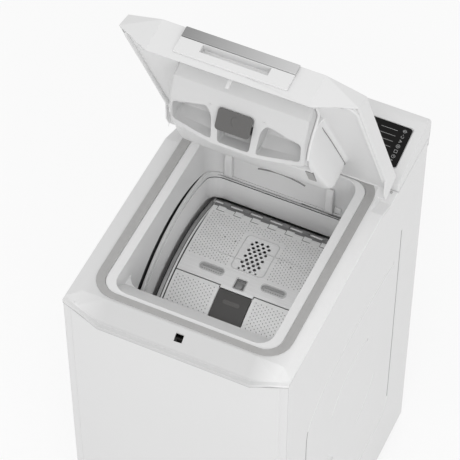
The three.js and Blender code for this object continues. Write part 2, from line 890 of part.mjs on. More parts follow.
function bearingHousing(side) {
  const span = (a, b) => [Math.min(side * a, side * b), Math.max(side * a, side * b)];
  const bore = circle(axisY, axisZ, shaftRadius + fit, 20);
  const ring = (radius, a, b) => alongX(circle(axisY, axisZ, radius, 20), ...span(a, b));
  const body = join(
    ring(60, tubEnd + fit, tubEnd + 6),
    ring(34, tubHalf + 0.5, tubEnd + bossLength),
  );
  return cut(body, alongX(bore, ...span(tubHalf - 5, tubEnd + bossLength + 5)));
}

function counterweight(from, to, thick, half) {
  const steps = Math.round((to - from) / 7.5);
  const outline = [
    ...arc(axisY, axisZ, tubOuter + 0.4, from, to, steps),
    ...arc(axisY, axisZ, tubOuter + thick, to, from, steps),
  ];
  return clean(alongX(outline, -half, half));
}

function heater() {
  const z = axisZ - 270;
  const y = axisY + 22;
  const path = [
    [92, y, z],
    [40, y, z],
    [-70, y, z],
    [-84, axisY, z],
    [-70, axisY - 22, z],
    [40, axisY - 22, z],
    [92, axisY - 22, z],
  ];
  const plate = block(91, 96.7, axisY - 34, axisY + 34, z - 12, z + 12);
  return join(tube(path, 4, 24, 6), plate);
}

function motor() {
  const body = alongX(circle(motorY, motorZ, motorRadius, 28), -112, 84);
  const arms = [-1, 1].map((side) =>
    block(side * 78, side * 94 - side * 12, 96, 124, motorZ, motorZ + 82 - fit),
  );
  const boss = alongX(circle(motorY, motorZ, 18, 20), -126, -110);
  return cut(join(body, boss, ...arms), alongX(circle(motorY, motorZ, 5.3, 12), -130, -60));
}

function motorPulley() {
  const from = -pulleyX - pulleyWidth;
  return join(
    alongX(circle(motorY, motorZ, 5, 12), from - 2, -62),
    alongX(circle(motorY, motorZ, motorPulleyRadius, 16), from, -pulleyX),
    alongX(circle(motorY, motorZ, motorPulleyRadius + 3, 16), from - 2, from),
    alongX(circle(motorY, motorZ, motorPulleyRadius + 3, 16), -pulleyX, -pulleyX + 2),
  );
}

function beltLoop(grow) {
  const [dy, dz] = [motorY - axisY, motorZ - axisZ];
  const gap = Math.hypot(dy, dz);
  const heading = THREE.MathUtils.radToDeg(Math.atan2(dz, dy));
  const lean = THREE.MathUtils.radToDeg(Math.acos((pulleyRadius - motorPulleyRadius) / gap));
  return [
    ...arc(axisY, axisZ, pulleyRadius + grow, heading + lean, heading + 360 - lean, 20),
    ...arc(motorY, motorZ, motorPulleyRadius + grow, heading - lean, heading + lean, 4),
  ];
}

function belt() {
  return clean(alongX(beltLoop(beltThick + 1), -pulleyX - 9, -pulleyX - 3, [beltLoop(1)]));
}

function drumPulley() {
  const windows = [];
  for (let i = 0; i < 5; i++) {
    const a = i * 72;
    windows.push([
      ...arc(axisY, axisZ, 116, a + 8, a + 64, 4),
      ...arc(axisY, axisZ, 38, a + 56, a + 16, 2),
    ]);
  }
  const holes = [circle(axisY, axisZ, shaftRadius + fit, 20), ...windows];
  return clean(alongX(circle(axisY, axisZ, pulleyRadius, 40), -pulleyX - pulleyWidth, -pulleyX, holes));
}

// ---- Drum ----

function drumShell() {
  const inner = circle(axisY, axisZ, drumRadius - drumSheet, roundSides);
  const skin = alongX(circle(axisY, axisZ, drumRadius, roundSides), -drumHalf, drumHalf, [inner]);
  const opening = block(-openingHalf, openingHalf, openingFront, openingRear, axisZ + 80, axisZ + 300);
  const lugs = [];
  const bores = [];
  for (const [y, z] of [
    [rearPinY, rearPinZ],
    [frontPinY, frontPinZ],
  ]) {
    const down = [Math.sin(0.4) * 16 * (y > axisY ? -1 : 1), -Math.cos(0.4) * 16];
    for (const side of [-1, 1]) {
      const x = side * (openingHalf + 2.2);
      const leg = [
        [y - 4, z],
        [y - 4 + down[0], z + down[1]],
        [y + 4 + down[0], z + down[1]],
        [y + 4, z],
      ];
      lugs.push(alongX(circle(y, z, knuckleRadius, 12), x - 1.6, x + 1.6));
      lugs.push(alongX(leg, x - 1.6, x + 1.6));
    }
    bores.push(alongX(circle(y, z, pinRadius + fit, 8), -125, 125));
  }
  const core = alongX(inner, -130, 130);
  return cut(join(cut(skin, opening), ...lugs), core, ...bores);
}

function drumEnd(side) {
  const span = (a, b) => [Math.min(side * a, side * b), Math.max(side * a, side * b)];
  const outer = drumRadius - drumSheet - fit;
  const ring = (radius, inner, a, b) =>
    alongX(circle(axisY, axisZ, ...radius), ...span(a, b), [circle(axisY, axisZ, ...inner)]);
  const bore = [shaftRadius + fit, 20];
  const disc = ring([outer, roundSides], bore, drumHalf - 11.5, drumHalf - 10);
  const rim = ring([outer, roundSides], [outer - 1.5, roundSides], drumHalf - 10, drumHalf);
  const hub = ring([36, 20], bore, drumHalf - 15, drumHalf - 11.5);
  return join(disc, rim, hub);
}

function drumShaft(side, reach) {
  const span = (a, b) => [Math.min(side * a, side * b), Math.max(side * a, side * b)];
  return join(
    alongX(circle(axisY, axisZ, shaftRadius, 20), ...span(drumHalf - 20, reach)),
    alongX(circle(axisY, axisZ, 28, 20), ...span(drumHalf - 20, drumHalf - 15 - fit)),
  );
}

function lifter(angle) {
  const radius = drumRadius - drumSheet - 0.4;
  const outline = [
    ...arc(axisY, axisZ, radius, angle - 7.5, angle + 7.5, 2),
    ...arc(axisY, axisZ, radius - 46, angle + 2.5, angle - 2.5, 2),
  ];
  return clean(alongX(outline, -drumHalf + 12, drumHalf - 12));
}

// How far the rear flap's outer face stands above the drum's curve, which it leaves towards its hinge.
const rearFlapFace = [
  [splitY - tongueReach, -0.51],
  [splitY, 0.11],
  [-35, -0.06],
  [-18, -0.22],
  [18, 0.33],
  [57, 3.35],
  [96, 10.7],
  [104, 11.83],
].map(([y, lift]) => [y, drumArc(y) + lift]);

function rearFlap() {
  const under = rearFlapFace.map(([y, z]) => [y, z - flapThick]).reverse();
  const leaf = alongX([...rearFlapFace, ...under], -flapHalf, flapHalf);
  const parts = [];
  const bores = [];
  for (let i = 0; i < 6; i++) {
    const x = (i - 2.5) * knucklePitch - knuckleWidth / 2;
    const tab = [
      [97, rearPinZ + 6],
      [97, rearPinZ + 2],
      [rearPinY, rearPinZ - 3],
      [rearPinY, rearPinZ + 4.4],
      [104, rearPinZ + 6],
    ];
    parts.push(alongX(circle(rearPinY, rearPinZ, knuckleRadius, 10), x, x + knuckleWidth));
    parts.push(alongX(tab, x, x + knuckleWidth));
  }
  bores.push(alongX(circle(rearPinY, rearPinZ, pinRadius + fit, 8), -120, 120));
  for (const side of [-1, 1]) {
    bores.push(
      block(side * tongueHalf, side * 130, splitY - 10, splitY + 0.5, axisZ + 100, axisZ + 300),
    );
  }
  bores.push(block(-9, 9, -51, -33, axisZ + 100, axisZ + 300));
  return cut(join(leaf, ...parts), ...bores);
}

function drumPlate(y0, y1, outer, inner, half) {
  const steps = 8;
  const top = [];
  const under = [];
  for (let i = 0; i <= steps; i++) {
    const y = y0 + ((y1 - y0) * i) / steps;
    top.push([y, drumArc(y, outer)]);
    under.unshift([y, drumArc(y, inner)]);
  }
  return alongX([...top, ...under], -half, half);
}

function frontFlap() {
  const free = splitY - 1;
  const leaf = drumPlate(-141, free, drumRadius, drumRadius - flapThick, flapHalf);
  const notchY = splitY - tongueReach - 0.7;
  const notch = block(-tongueHalf - 1.5, tongueHalf + 1.5, notchY, free + 5, axisZ + 100, axisZ + 300);
  const pocket = drumPlate(buttonFront - 3.5, notchY, drumRadius, drumRadius - 11, buttonHalf + 3);
  const hollow = drumPlate(
    buttonFront - fit,
    notchY - 1,
    drumRadius + 6,
    drumRadius - 9,
    buttonHalf + fit,
  );
  const parts = [pocket];
  for (let i = 0; i < 4; i++) {
    const x = (i - 1.5) * 56 - 9;
    const tab = [
      [-138, drumArc(-138, drumRadius)],
      [-138, drumArc(-138, drumRadius - 4)],
      [frontPinY + 1, frontPinZ - 4],
      [frontPinY - 1, frontPinZ + 4],
    ];
    parts.push(alongX(circle(frontPinY, frontPinZ, knuckleRadius, 10), x, x + 18));
    parts.push(alongX(tab, x, x + 18));
  }
  const bore = alongX(circle(frontPinY, frontPinZ, pinRadius + fit, 8), -120, 120);
  return cut(join(cut(leaf, notch), ...parts), hollow, bore);
}

function latchButton() {
  const notchY = splitY - tongueReach - 1.7;
  return clean(
    drumPlate(buttonFront, notchY - fit, drumRadius + 1, drumRadius - 3.5, buttonHalf),
  );
}

function hingeRod(y, z) {
  const reach = openingHalf + 3.6;
  return clean(alongX(circle(y, z, pinRadius, 8), -reach, reach));
}

// ---- Suspension and services ----

function hangSpring(side, y) {
  const x = side * springX;
  const [low, high] = [springLow, springHigh];
  const points = [
    [x, y, low],
    [x, y, low + 8],
  ];
  const steps = springTurns * 6;
  for (let i = 0; i <= steps; i++) {
    const a = (i / 6) * Math.PI * 2;
    const z = low + 16 + ((high - low - 32) * i) / steps;
    points.push([x + springRadius * Math.cos(a), y + springRadius * Math.sin(a), z]);
  }
  points.push([x, y, high - 8], [x, y, high]);
  return tube(points, springWire, 32, 4);
}

function damperBody(side) {
  const x = side * damperX;
  const low = floorTop + 6 + fit;
  const top = axisZ - 300;
  return cut(
    alongZ(circle(x, damperY, damperRadius, 20), low, top),
    alongZ(circle(x, damperY, damperRod + fit, 16), low + 30, top + 5),
  );
}

function damperPiston(side) {
  const x = side * damperX;
  return clean(alongZ(circle(x, damperY, damperRod, 16), floorTop + 76, axisZ - 240 - fit));
}

function drainPump() {
  const body = alongY(circle(filterX, filterZ, 30, 28), -276, -196);
  const elbow = tube(
    [
      [filterX, -204, filterZ - 8],
      [60, -140, 58],
      [44, -40, 48],
      [40, axisY - 6, 56],
      [40, axisY, 76],
      [40, axisY, 104],
    ],
    13,
    12,
    10,
  );
  const outlet = alongX(circle(-236, filterZ + 8, 10, 14), filterX + 20, filterX + 46);
  return cut(join(body, elbow, outlet), alongY(circle(filterX, filterZ, filterRadius + fit), -290, -216));
}

function pumpFilter() {
  const knob = alongY(circle(filterX, filterZ, 21, 24), -290, -278);
  const grip = block(filterX - 19, filterX + 19, -296, -288, filterZ - 4, filterZ + 4);
  return join(alongY(circle(filterX, filterZ, filterRadius, 28), -280, -222), knob, grip);
}

function filterDoor() {
  const x = doorHalf - 0.6;
  return clean(
    block(filterX - x, filterX + x, frontY, frontY + sheet, doorLow + 0.6, doorHigh - 0.6),
  );
}

function sumpHose() {
  const outer = circle(40, axisY, 17, 20);
  return clean(alongZ(outer, 92, axisZ - 292, [circle(40, axisY, 14.3, 20)]));
}

function drainHose() {
  const path = [
    [filterX + 48.6, -236, filterZ + 8],
    [filterX + 66, -236, filterZ + 4],
    [halfWidth - 40, -200, 64],
    [halfWidth - 32, -60, 54],
    [halfWidth - 32, 120, 54],
    [halfWidth - 32, 232, 70],
    [halfWidth - 32, 262, 140],
    [halfWidth - 32, 264, 400],
    [halfWidth - 32, 264, axisZ + 235],
    [hoseX + 2, 264, axisZ + 290],
    [hoseX, 264, hoseZ + 4],
  ];
  const elbow = alongY(circle(hoseX, hoseZ, hoseRadius + 1, 12), 256, consoleRear - 4);
  return join(tube(path, hoseRadius, 30, 8), elbow);
}

function inletValve() {
  const [x, z] = [inletX, inletZ];
  const body = join(
    alongY(circle(x, z, 14.9, 20), 262, consoleRear - 4),
    block(x - 18, x + 18, 240, 266, z - 24, z + 16),
    alongZ(circle(x, 250, 15, 20), z + 14, z + 40),
    block(x - 24, x + 24, 281, sideRear - 2 * sheet - 0.6, z - 20, z + 20),
  );
  return cut(body, alongY(circle(x, z, 9, 16), 274, consoleRear));
}

for (const side of [-1, 1]) add("side_panel_" + sideName(side), sidePanel(side), white);
add("front_panel", frontPanel(), white);
add("rear_panel", rearPanel(), zinc);
add("base_tray", baseTray(), tubPlastic);
for (const side of [-1, 1]) add("foot_" + sideName(side), frontFoot(side), dark);
add("top_deck", topDeck(), white);
add("lid_seal", lidSeal(), rubber);
add("loading_throat", loadingThroat(), shade);
add("mouth_bellows", mouthBellows(), rubber);
add("console_housing", consoleHousing(), white);
add("control_glass", clean(alongX(panelStrip(183.4, 260.6, 1.9, 0.1), -182, 182)), black);
add("control_board", controlBoard(), circuit);
add("lid_lock", lidLock(), dark);
for (const side of [-1, 1]) add("hinge_bracket_" + sideName(side), hingeBracket(side), zinc);

addToLid("lid_outer", lidOuter(), white);
addToLid("lid_liner", lidLiner(), shade);
addToLid("handle_plate", handlePlate(), white);
addToLid("handle_bar", handleBar(), brushed);
addToLid("dispenser_body", dispenserBody(), shade);
addToLid("liquid_flap", liquidFlap(), dark);

for (const side of [-1, 1]) {
  add("tub_" + sideName(side), tubHalfShell(side), tubPlastic);
  add("bearing_housing_" + sideName(side), bearingHousing(side), zinc);
}
add("counterweight_front", counterweight(165, 210, 26, 112), stone);
add("counterweight_low", counterweight(225, 247.5, 36, 84), stone);
add("heater", heater(), steel);
add("motor", motor(), zinc);
add("motor_pulley", motorPulley(), steel);
add("drive_belt", belt(), beltRubber);
add("drum_pulley", drumPulley(), zinc);

add("drum_shell", drumShell(), steel);
for (const side of [-1, 1]) add("drum_end_" + sideName(side), drumEnd(side), steel);
add("drum_shaft_left", drumShaft(-1, pulleyX + pulleyWidth + 4), zinc);
add("drum_shaft_right", drumShaft(1, tubEnd + bossLength + 2), zinc);
add("lifter_front", lifter(-150), tubPlastic);
add("lifter_rear", lifter(-30), tubPlastic);
add("rear_flap", rearFlap(), steel);
add("front_flap", frontFlap(), steel);
add("latch_button", latchButton(), dark);
add("rear_hinge_rod", hingeRod(rearPinY, rearPinZ), steel);
add("front_hinge_rod", hingeRod(frontPinY, frontPinZ), steel);

for (const side of [-1, 1]) {
  add("spring_front_" + sideName(side), hangSpring(side, springFrontY), steel);
  add("spring_rear_" + sideName(side), hangSpring(side, springRearY), steel);
  add("damper_body_" + sideName(side), damperBody(side), zinc);
  add("damper_rod_" + sideName(side), damperPiston(side), steel);
}
add("drain_pump", drainPump(), tubPlastic);
add("pump_filter", pumpFilter(), tubPlastic);
add("filter_door", filterDoor(), white);
add("sump_hose", sumpHose(), beltRubber);
add("drain_hose", drainHose(), rubber);
add("inlet_valve", inletValve(), tubPlastic);

export default machine;
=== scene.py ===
import json
import math

import bpy
from mathutils import Matrix, Vector

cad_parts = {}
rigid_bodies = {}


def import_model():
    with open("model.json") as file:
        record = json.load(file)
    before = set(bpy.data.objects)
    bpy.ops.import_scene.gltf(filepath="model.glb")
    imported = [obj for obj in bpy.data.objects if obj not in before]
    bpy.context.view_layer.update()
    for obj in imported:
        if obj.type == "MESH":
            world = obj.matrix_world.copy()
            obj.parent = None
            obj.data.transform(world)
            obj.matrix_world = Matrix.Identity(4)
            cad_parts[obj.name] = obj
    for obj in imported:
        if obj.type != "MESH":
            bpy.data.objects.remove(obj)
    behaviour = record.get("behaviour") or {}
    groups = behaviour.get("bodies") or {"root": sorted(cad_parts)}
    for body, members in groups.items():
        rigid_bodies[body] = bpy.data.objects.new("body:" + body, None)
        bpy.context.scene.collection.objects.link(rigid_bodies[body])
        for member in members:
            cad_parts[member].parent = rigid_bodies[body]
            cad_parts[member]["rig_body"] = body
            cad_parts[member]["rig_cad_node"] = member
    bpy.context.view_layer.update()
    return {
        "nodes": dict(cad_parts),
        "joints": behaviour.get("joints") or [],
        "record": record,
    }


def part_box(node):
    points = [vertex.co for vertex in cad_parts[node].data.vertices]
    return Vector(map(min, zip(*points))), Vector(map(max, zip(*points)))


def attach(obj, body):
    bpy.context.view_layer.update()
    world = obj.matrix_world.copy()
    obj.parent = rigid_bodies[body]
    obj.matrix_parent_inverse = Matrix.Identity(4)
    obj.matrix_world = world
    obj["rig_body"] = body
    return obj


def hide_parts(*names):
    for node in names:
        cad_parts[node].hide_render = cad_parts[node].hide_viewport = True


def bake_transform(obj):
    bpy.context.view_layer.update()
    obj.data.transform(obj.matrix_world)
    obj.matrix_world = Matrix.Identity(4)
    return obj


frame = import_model()
nodes = frame["nodes"]
joints = {joint["name"]: joint for joint in frame["joints"]}
slotOf = {part["node"]: part["material_slot"] for part in frame["record"]["subparts"]}
scene = bpy.context.scene
scene.view_settings.view_transform = "Standard"

# Pieces are modelled in millimetres and brought to metres by settle().
mm = 1000
hinge = Vector(joints["lid_hinge"]["pos_m"]) * mm
lidSwing = math.radians(joints["lid_hinge"]["range_deg"][0])
drumAxis = Vector(joints["drum_spin"]["pos_m"]) * mm
rearPin = Vector(joints["rear_flap_hinge"]["pos_m"]) * mm
frontPin = Vector(joints["front_flap_hinge"]["pos_m"]) * mm
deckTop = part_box("top_deck")[1].z * mm
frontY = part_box("front_panel")[0].y * mm
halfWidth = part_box("side_panel_right")[1].x * mm


class Signal:
    # One output of a shader node, so that sums on it are written as sums.
    def __init__(self, shades, socket):
        self.shades = shades
        self.socket = socket

    def maths(self, operation, *values):
        return self.shades.node("ShaderNodeMath", {"operation": operation}, *values)

    def __add__(self, other):
        return self.maths("ADD", self, other)

    def __sub__(self, other):
        return self.maths("SUBTRACT", self, other)

    def __mul__(self, other):
        return self.maths("MULTIPLY", self, other)

    def __gt__(self, other):
        return self.maths("GREATER_THAN", self, other)

    __radd__ = __add__
    __rmul__ = __mul__


class Shades:
    # The node tree of a material or of the world, and short ways to add nodes to it.
    def __init__(self, owner):
        owner.use_nodes = True
        self.tree = owner.node_tree

    def join(self, value, socket):
        if isinstance(value, Signal):
            self.tree.links.new(value.socket, socket)
        else:
            socket.default_value = value

    def node(self, kind, settings, *values, sockets=None, out=0):
        made = self.tree.nodes.new(kind)
        for key, value in settings.items():
            setattr(made, key, value)
        for place, value in [*enumerate(values), *(sockets or {}).items()]:
            self.join(value, made.inputs[place])
        return Signal(self, made.outputs[out])

    def rays(self, first, *others):
        # One where a ray is of any of these kinds, otherwise nothing.
        seen = self.node("ShaderNodeLightPath", {}, out=f"Is {first} Ray")
        for kind in others:
            seen = seen.maths("MAXIMUM", seen, self.node("ShaderNodeLightPath", {}, out=f"Is {kind} Ray"))
        return seen


class Finish(Shades):
    # A material with its Principled shader.
    def __init__(self, name, **shader):
        self.material = bpy.data.materials.new(name)
        super().__init__(self.material)
        self.shader = self.tree.nodes["Principled BSDF"]
        for socket, value in shader.items():
            self.shader.inputs[socket.replace("_", " ")].default_value = value

    def place(self, stretch=(1, 1, 1)):
        where = self.node("ShaderNodeTexCoord", {}, out=3)
        return self.node("ShaderNodeVectorMath", {"operation": "MULTIPLY"}, where, stretch)

    def across(self, stretch):
        return self.node("ShaderNodeSeparateXYZ", {}, self.place((stretch, 1, 1)))

    def noise(self, scale, detail=2.0, stretch=(1, 1, 1), rough=0.5):
        sockets = {"Vector": self.place(stretch), "Scale": scale, "Detail": detail, "Roughness": rough}
        return self.node("ShaderNodeTexNoise", {"noise_dimensions": "3D"}, sockets=sockets)

    def cells(self, scale):
        sockets = {"Vector": self.place(), "Scale": scale}
        return self.node("ShaderNodeTexVoronoi", {"feature": "F1"}, sockets=sockets)

    def mix(self, amount, first, second):
        sockets = {0: amount, 6: first, 7: second}
        return self.node("ShaderNodeMix", {"data_type": "RGBA"}, sockets=sockets, out=2)

    def tones(self, amount, level, low, high, warm=0.0):
        return self.mix(amount, tint(level * low, warm), tint(level * high, warm))

    def feed(self, socket, value):
        self.join(value, self.shader.inputs[socket])

    def dress(self, colour, roughness, height, distance, strength):
        # The three inputs that every surface varies: its colour, its gloss and its fine relief.
        self.feed("Base Color", colour)
        self.feed("Roughness", roughness)
        sockets = {"Strength": strength, "Distance": distance, "Height": height}
        self.feed("Normal", self.node("ShaderNodeBump", {}, sockets=sockets))
        return self


def tint(level, warm=0.0):
    return (level * (1 + warm), level, level * (1 - warm), 1.0)


def paintedSteel(name, level, gloss=0.3):
    # Enamel with the faint orange peel of sprayed paint.
    finish = Finish(name, Coat_Weight=0.25, Coat_Roughness=0.12)
    colour = finish.mix(finish.noise(3.0, 3.0), tint(level * 0.985, 0.002), tint(level * 1.01, -0.002))
    rough = gloss - 0.04 + 0.08 * finish.noise(38.0, 4.0)
    return finish.dress(colour, rough, finish.noise(700.0, 2.0), 0.00003, 0.5)


def surface(name, level, tone, gloss, relief, warm=0.0, **shader):
    # Tone: the noise's scale and detail, darkest, lightest. Gloss: least, swing and the noise's two.
    # Relief: the noise's two, then its depth and strength.
    finish = Finish(name, **shader)
    colour = finish.tones(finish.noise(*tone[:2]), level, *tone[2:], warm)
    rough = gloss[0] + gloss[1] * finish.noise(*gloss[2:])
    return finish.dress(colour, rough, finish.noise(*relief[:2]), *relief[2:])


def mouldedPlastic(name, level, gloss=0.34, grain=0.00002, warm=0.0):
    tone, relief = (7.0, 3.0, 0.98, 1.01), (1500.0, 3.0, grain, 0.6)
    return surface(name, level, tone, (gloss - 0.05, 0.1, 60.0, 5.0), relief, warm, Specular_IOR_Level=0.5)


def sideHighlightPlastic(name, middle, right, left, gloss):
    # White plastic painted lighter towards the part's two sides, a painted highlight on its side rails.
    finish = Finish(name, Specular_IOR_Level=0.5)
    steep, start = 18, 2.3
    across = finish.across(steep)
    colour = finish.tones(finish.noise(7.0, 3.0), middle, 0.98, 1.01)
    colour = finish.mix(across - start, colour, tint(right))
    colour = finish.mix(-1 * across - start, colour, tint(left))
    rough = gloss - 0.05 + 0.1 * finish.noise(60.0, 5.0)
    return finish.dress(colour, rough, finish.noise(1500.0, 3.0), 0.00002, 0.6)


def brushedSteel(name, level, stretch, gloss=0.34, metal=1.0, depth=0.00003):
    finish = Finish(name, Metallic=metal)
    lines = finish.noise(1.0, 4.0, stretch, 0.7)
    rough = gloss - 0.08 + 0.12 * lines + 0.07 * finish.noise(6.0, 3.0)
    return finish.dress(finish.tones(lines, level, 0.84, 1.14), rough, lines, depth, 0.5)


def doorSteel(name, level, gloss=0.5, metal=0.4):
    return brushedSteel(name, level, (14, 500, 500), gloss, metal, 0.00002)


def handleSteel(name, dark, light):
    # Brushed metal painted lighter towards its right end, a painted broad soft reflection.
    finish = Finish(name, Metallic=0.85)
    lines = finish.noise(1.0, 4.0, (6, 1400, 1400), 0.7)
    sheen = finish.mix(finish.across(4.5) + 0.5, tint(dark), tint(light))
    colour = finish.mix(0.25 * lines, sheen, tint(light * 1.1))
    return finish.dress(colour, 0.3 + 0.12 * lines, lines, 0.00003, 0.5)


def platedSteel(name, level):
    finish = Finish(name, Metallic=0.9)
    cloud = finish.noise(14.0, 4.0)
    colour = finish.tones(finish.cells(55.0), level, 0.82, 1.12)
    return finish.dress(colour, 0.34 + 0.16 * cloud, cloud, 0.00006, 0.4)


def castStone(name, level):
    finish = Finish(name)
    grit = finish.cells(160.0)
    pit = finish.noise(45.0, 6.0)
    colour = finish.tones(grit * 0.5 + pit * 0.5, level, 0.7, 1.3, 0.02)
    return finish.dress(colour, 0.82 + 0.12 * pit, pit + 0.4 * grit, 0.0012, 0.8)


def circuitBoard(name):
    finish = Finish(name, Coat_Weight=0.5)
    tracks = finish.noise(1.0, 1.0, (260, 40, 40)) > 0.52
    colour = finish.mix(tracks, (0.01, 0.09, 0.03, 1), (0.03, 0.2, 0.07, 1))
    return finish.dress(colour, 0.35 + 0.1 * finish.noise(200.0), tracks, 0.00004, 0.6)


def panelGlass(name):
    finish = Finish(name, Specular_IOR_Level=0.12)
    smear = finish.noise(22.0, 5.0, (1.0, 2.5, 1.0))
    colour = finish.mix(smear, (0.004, 0.004, 0.004, 1), (0.009, 0.0085, 0.008, 1))
    return finish.dress(colour, 0.05 + 0.1 * smear, finish.noise(9.0, 1.0), 0.00004, 0.25)


def printedInk(name, dark, light, scale, rough, fine, **shader):
    # A printed or unlit surface: two close tones and a varying gloss, with no relief.
    finish = Finish(name, **shader)
    finish.feed("Base Color", finish.mix(finish.noise(scale), dark, light))
    finish.feed("Roughness", rough + 0.1 * finish.noise(fine))
    return finish


finishes = {
    "cabinet_steel": paintedSteel("cabinetSteel", 0.73),
    "cover_plastic": mouldedPlastic("coverPlastic", 0.76, 0.3),
    "liner_plastic": mouldedPlastic("linerPlastic", 0.76, 0.42, 0.00003),
    "seal_rubber": surface(
        "sealRubber", 0.4, (90.0, 6.0, 0.9, 1.08), (0.55, 0.2, 240.0, 3.0), (2200.0, 2.0, 0.00005, 0.7), 0.01
    ),
    "plated_steel": platedSteel("platedSteel", 0.5),
    "cast_aluminium": surface(
        "castAluminium", 0.52, (420.0, 5.0, 0.8, 1.1), (0.45, 0.2, 420.0, 5.0), (420.0, 5.0, 0.00025, 0.8),
        Metallic=0.85,
    ),
    "drum_steel": brushedSteel("drumSteel", 0.42, (12, 600, 600), 0.36),
    "flap_steel": doorSteel("flapSteel", 0.82, 0.5, 0.3),
    "spring_steel": brushedSteel("springSteel", 0.4, (300, 300, 20), 0.3),
    "handle_steel": handleSteel("handleSteel", 0.2, 0.62),
    "dark_plastic": mouldedPlastic("darkPlastic", 0.06, 0.45, 0.00004, 0.03),
    "panel_black": panelGlass("panelBlack"),
    "tub_plastic": mouldedPlastic("tubPlastic", 0.84, 0.5, 0.00006),
    "ballast": castStone("ballast", 0.27),
    "belt_rubber": surface(
        "beltRubber", 0.02, (60.0, 5.0, 0.7, 1.6), (0.6, 0.25, 60.0, 5.0), (900.0, 3.0, 0.00008, 0.8)
    ),
    "board": circuitBoard("board"),
}
# Mid grey for the deck screws, and painted shade for the shadow line under the deck's lip and the dark groove
# lines.
shadeAndScrewGrey = mouldedPlastic("shadeAndScrewGrey", 0.46, 0.6)
# Near white for the painted highlight lines in the side grooves.
highlightWhite = mouldedPlastic("highlightWhite", 0.97, 0.3)
# The deck's plastic, with a painted highlight towards its two sides.
deckHighlightPlastic = sideHighlightPlastic("deckHighlightPlastic", 0.6, 0.84, 0.7, 0.32)
# Darker door steel, painted shade on the pressed pips.
pipShadeSteel = doorSteel("pipShadeSteel", 0.36)
# Darker door steel, painted shade in the grips, the latch pocket and on the drum's strip behind the hinge.
gripShadeSteel = doorSteel("gripShadeSteel", 0.36)
ridgeSteel = doorSteel("ridgeSteel", 0.62)
eyeSteel = doorSteel("eyeSteel", 0.24, 0.6, 0.2)
# Darkest door steel, painted shade along the rear flap's hinge and in its four dots.
hingeShadeSteel = doorSteel("hingeShadeSteel", 0.2, 0.6, 0.2)
# Near black, painted shade in the gaps round the drum's door and at the mouth's edge.
gapShadeBlack = mouldedPlastic("gapShadeBlack", 0.012, 0.8)
markPlastic = mouldedPlastic("markPlastic", 0.11, 0.5, 0.00004, 0.03)
shadowGap = mouldedPlastic("shadowGap", 0.2, 0.7)
blockPlastic = mouldedPlastic("blockPlastic", 0.63, 0.4, 0.00003)
flapPlastic = mouldedPlastic("flapPlastic", 0.11, 0.42, 0.00004, 0.02)
displayGlass = printedInk(
    "displayGlass", tint(0.03, 0.02), tint(0.05, 0.02), 30.0, 0.2, 60.0, Specular_IOR_Level=0.15
)
printWhite = printedInk("printWhite", tint(0.3), tint(0.42), 400.0, 0.5, 90.0)
print("finishes made")


def alone(piece):
    if bpy.context.mode != "OBJECT":
        bpy.ops.object.mode_set(mode="OBJECT")
    bpy.ops.object.select_all(action="DESELECT")
    piece.select_set(True)
    bpy.context.view_layer.objects.active = piece


def fixed(piece):
    # The piece with its place, turn and size worked into its mesh.
    alone(piece)
    bpy.ops.object.transform_apply(location=True, rotation=True, scale=True)
    return piece


def twinOf(piece):
    twin = piece.copy()
    twin.data = piece.data.copy()
    scene.collection.objects.link(twin)
    return twin


def openMesh(piece):
    alone(piece)
    bpy.ops.object.mode_set(mode="EDIT")
    bpy.ops.mesh.select_all(action="SELECT")


def closeMesh(outward=True):
    if outward:
        bpy.ops.mesh.select_all(action="SELECT")
        bpy.ops.mesh.normals_make_consistent(inside=False)
    bpy.ops.object.mode_set(mode="OBJECT")
    return bpy.context.object


def pickVertices(piece, chosen):
    # Leaves the piece in edit mode with only the chosen vertices selected.
    openMesh(piece)
    bpy.ops.mesh.select_all(action="DESELECT")
    bpy.ops.object.mode_set(mode="OBJECT")
    for vertex in piece.data.vertices:
        vertex.select = chosen(vertex)
    bpy.ops.object.mode_set(mode="EDIT")


def applied(piece, kind, **settings):
    alone(piece)
    modifier = piece.modifiers.new(kind.title(), kind)
    for key, value in settings.items():
        setattr(modifier, key, value)
    bpy.ops.object.modifier_apply(modifier=modifier.name)
    return piece


def rounded(piece, width, segments=2, angle=25):
    return applied(
        piece, "BEVEL", width=width, segments=segments, limit_method="ANGLE",
        angle_limit=math.radians(angle), use_clamp_overlap=False, miter_outer="MITER_ARC",
    )


def smooth(piece, angle=30, weighted=True):
    alone(piece)
    bpy.ops.object.shade_smooth_by_angle(angle=math.radians(angle))
    if weighted:
        applied(piece, "WEIGHTED_NORMAL", keep_sharp=True)
    return piece


def eased(piece, width, segments=2, angle=25, shade=30, weighted=True):
    # Rounded edges and smooth shading together.
    return smooth(rounded(piece, width, segments, angle), shade, weighted)


def copyNode(name):
    # A merged copy of a construction node, in millimetres, to be worked on in its place.
    piece = twinOf(nodes[name])
    piece.parent = None
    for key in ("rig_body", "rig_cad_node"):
        piece.pop(key, None)
    piece.scale = (mm, mm, mm)
    fixed(piece).data.materials.clear()
    openMesh(piece)
    bpy.ops.mesh.remove_doubles(threshold=0.01)
    bpy.ops.mesh.dissolve_limited(angle_limit=math.radians(0.6))
    return closeMesh(False)


def settle(piece, name, body, slot, *replaced, finish=None):
    # The finished piece, brought to metres, given its finish and tied to its body.
    piece.name = name
    piece.data.name = name
    piece.scale = (1 / mm, 1 / mm, 1 / mm)
    fixed(piece).data.materials.clear()
    piece.data.materials.append((finish or finishes[slot]).material)
    if body:
        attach(piece, body)
    if replaced:
        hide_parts(*replaced)
    return piece


def skinned(piece, node, finish=None):
    # A piece that stands in for one construction node, with its body and slot.
    settle(piece, node + "_skin", nodes[node]["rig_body"], slotOf[node], node, finish=finish)


def softened(node, width, segments=2, angle=25, finish=None):
    skinned(eased(copyNode(node), width, segments, angle), node, finish)


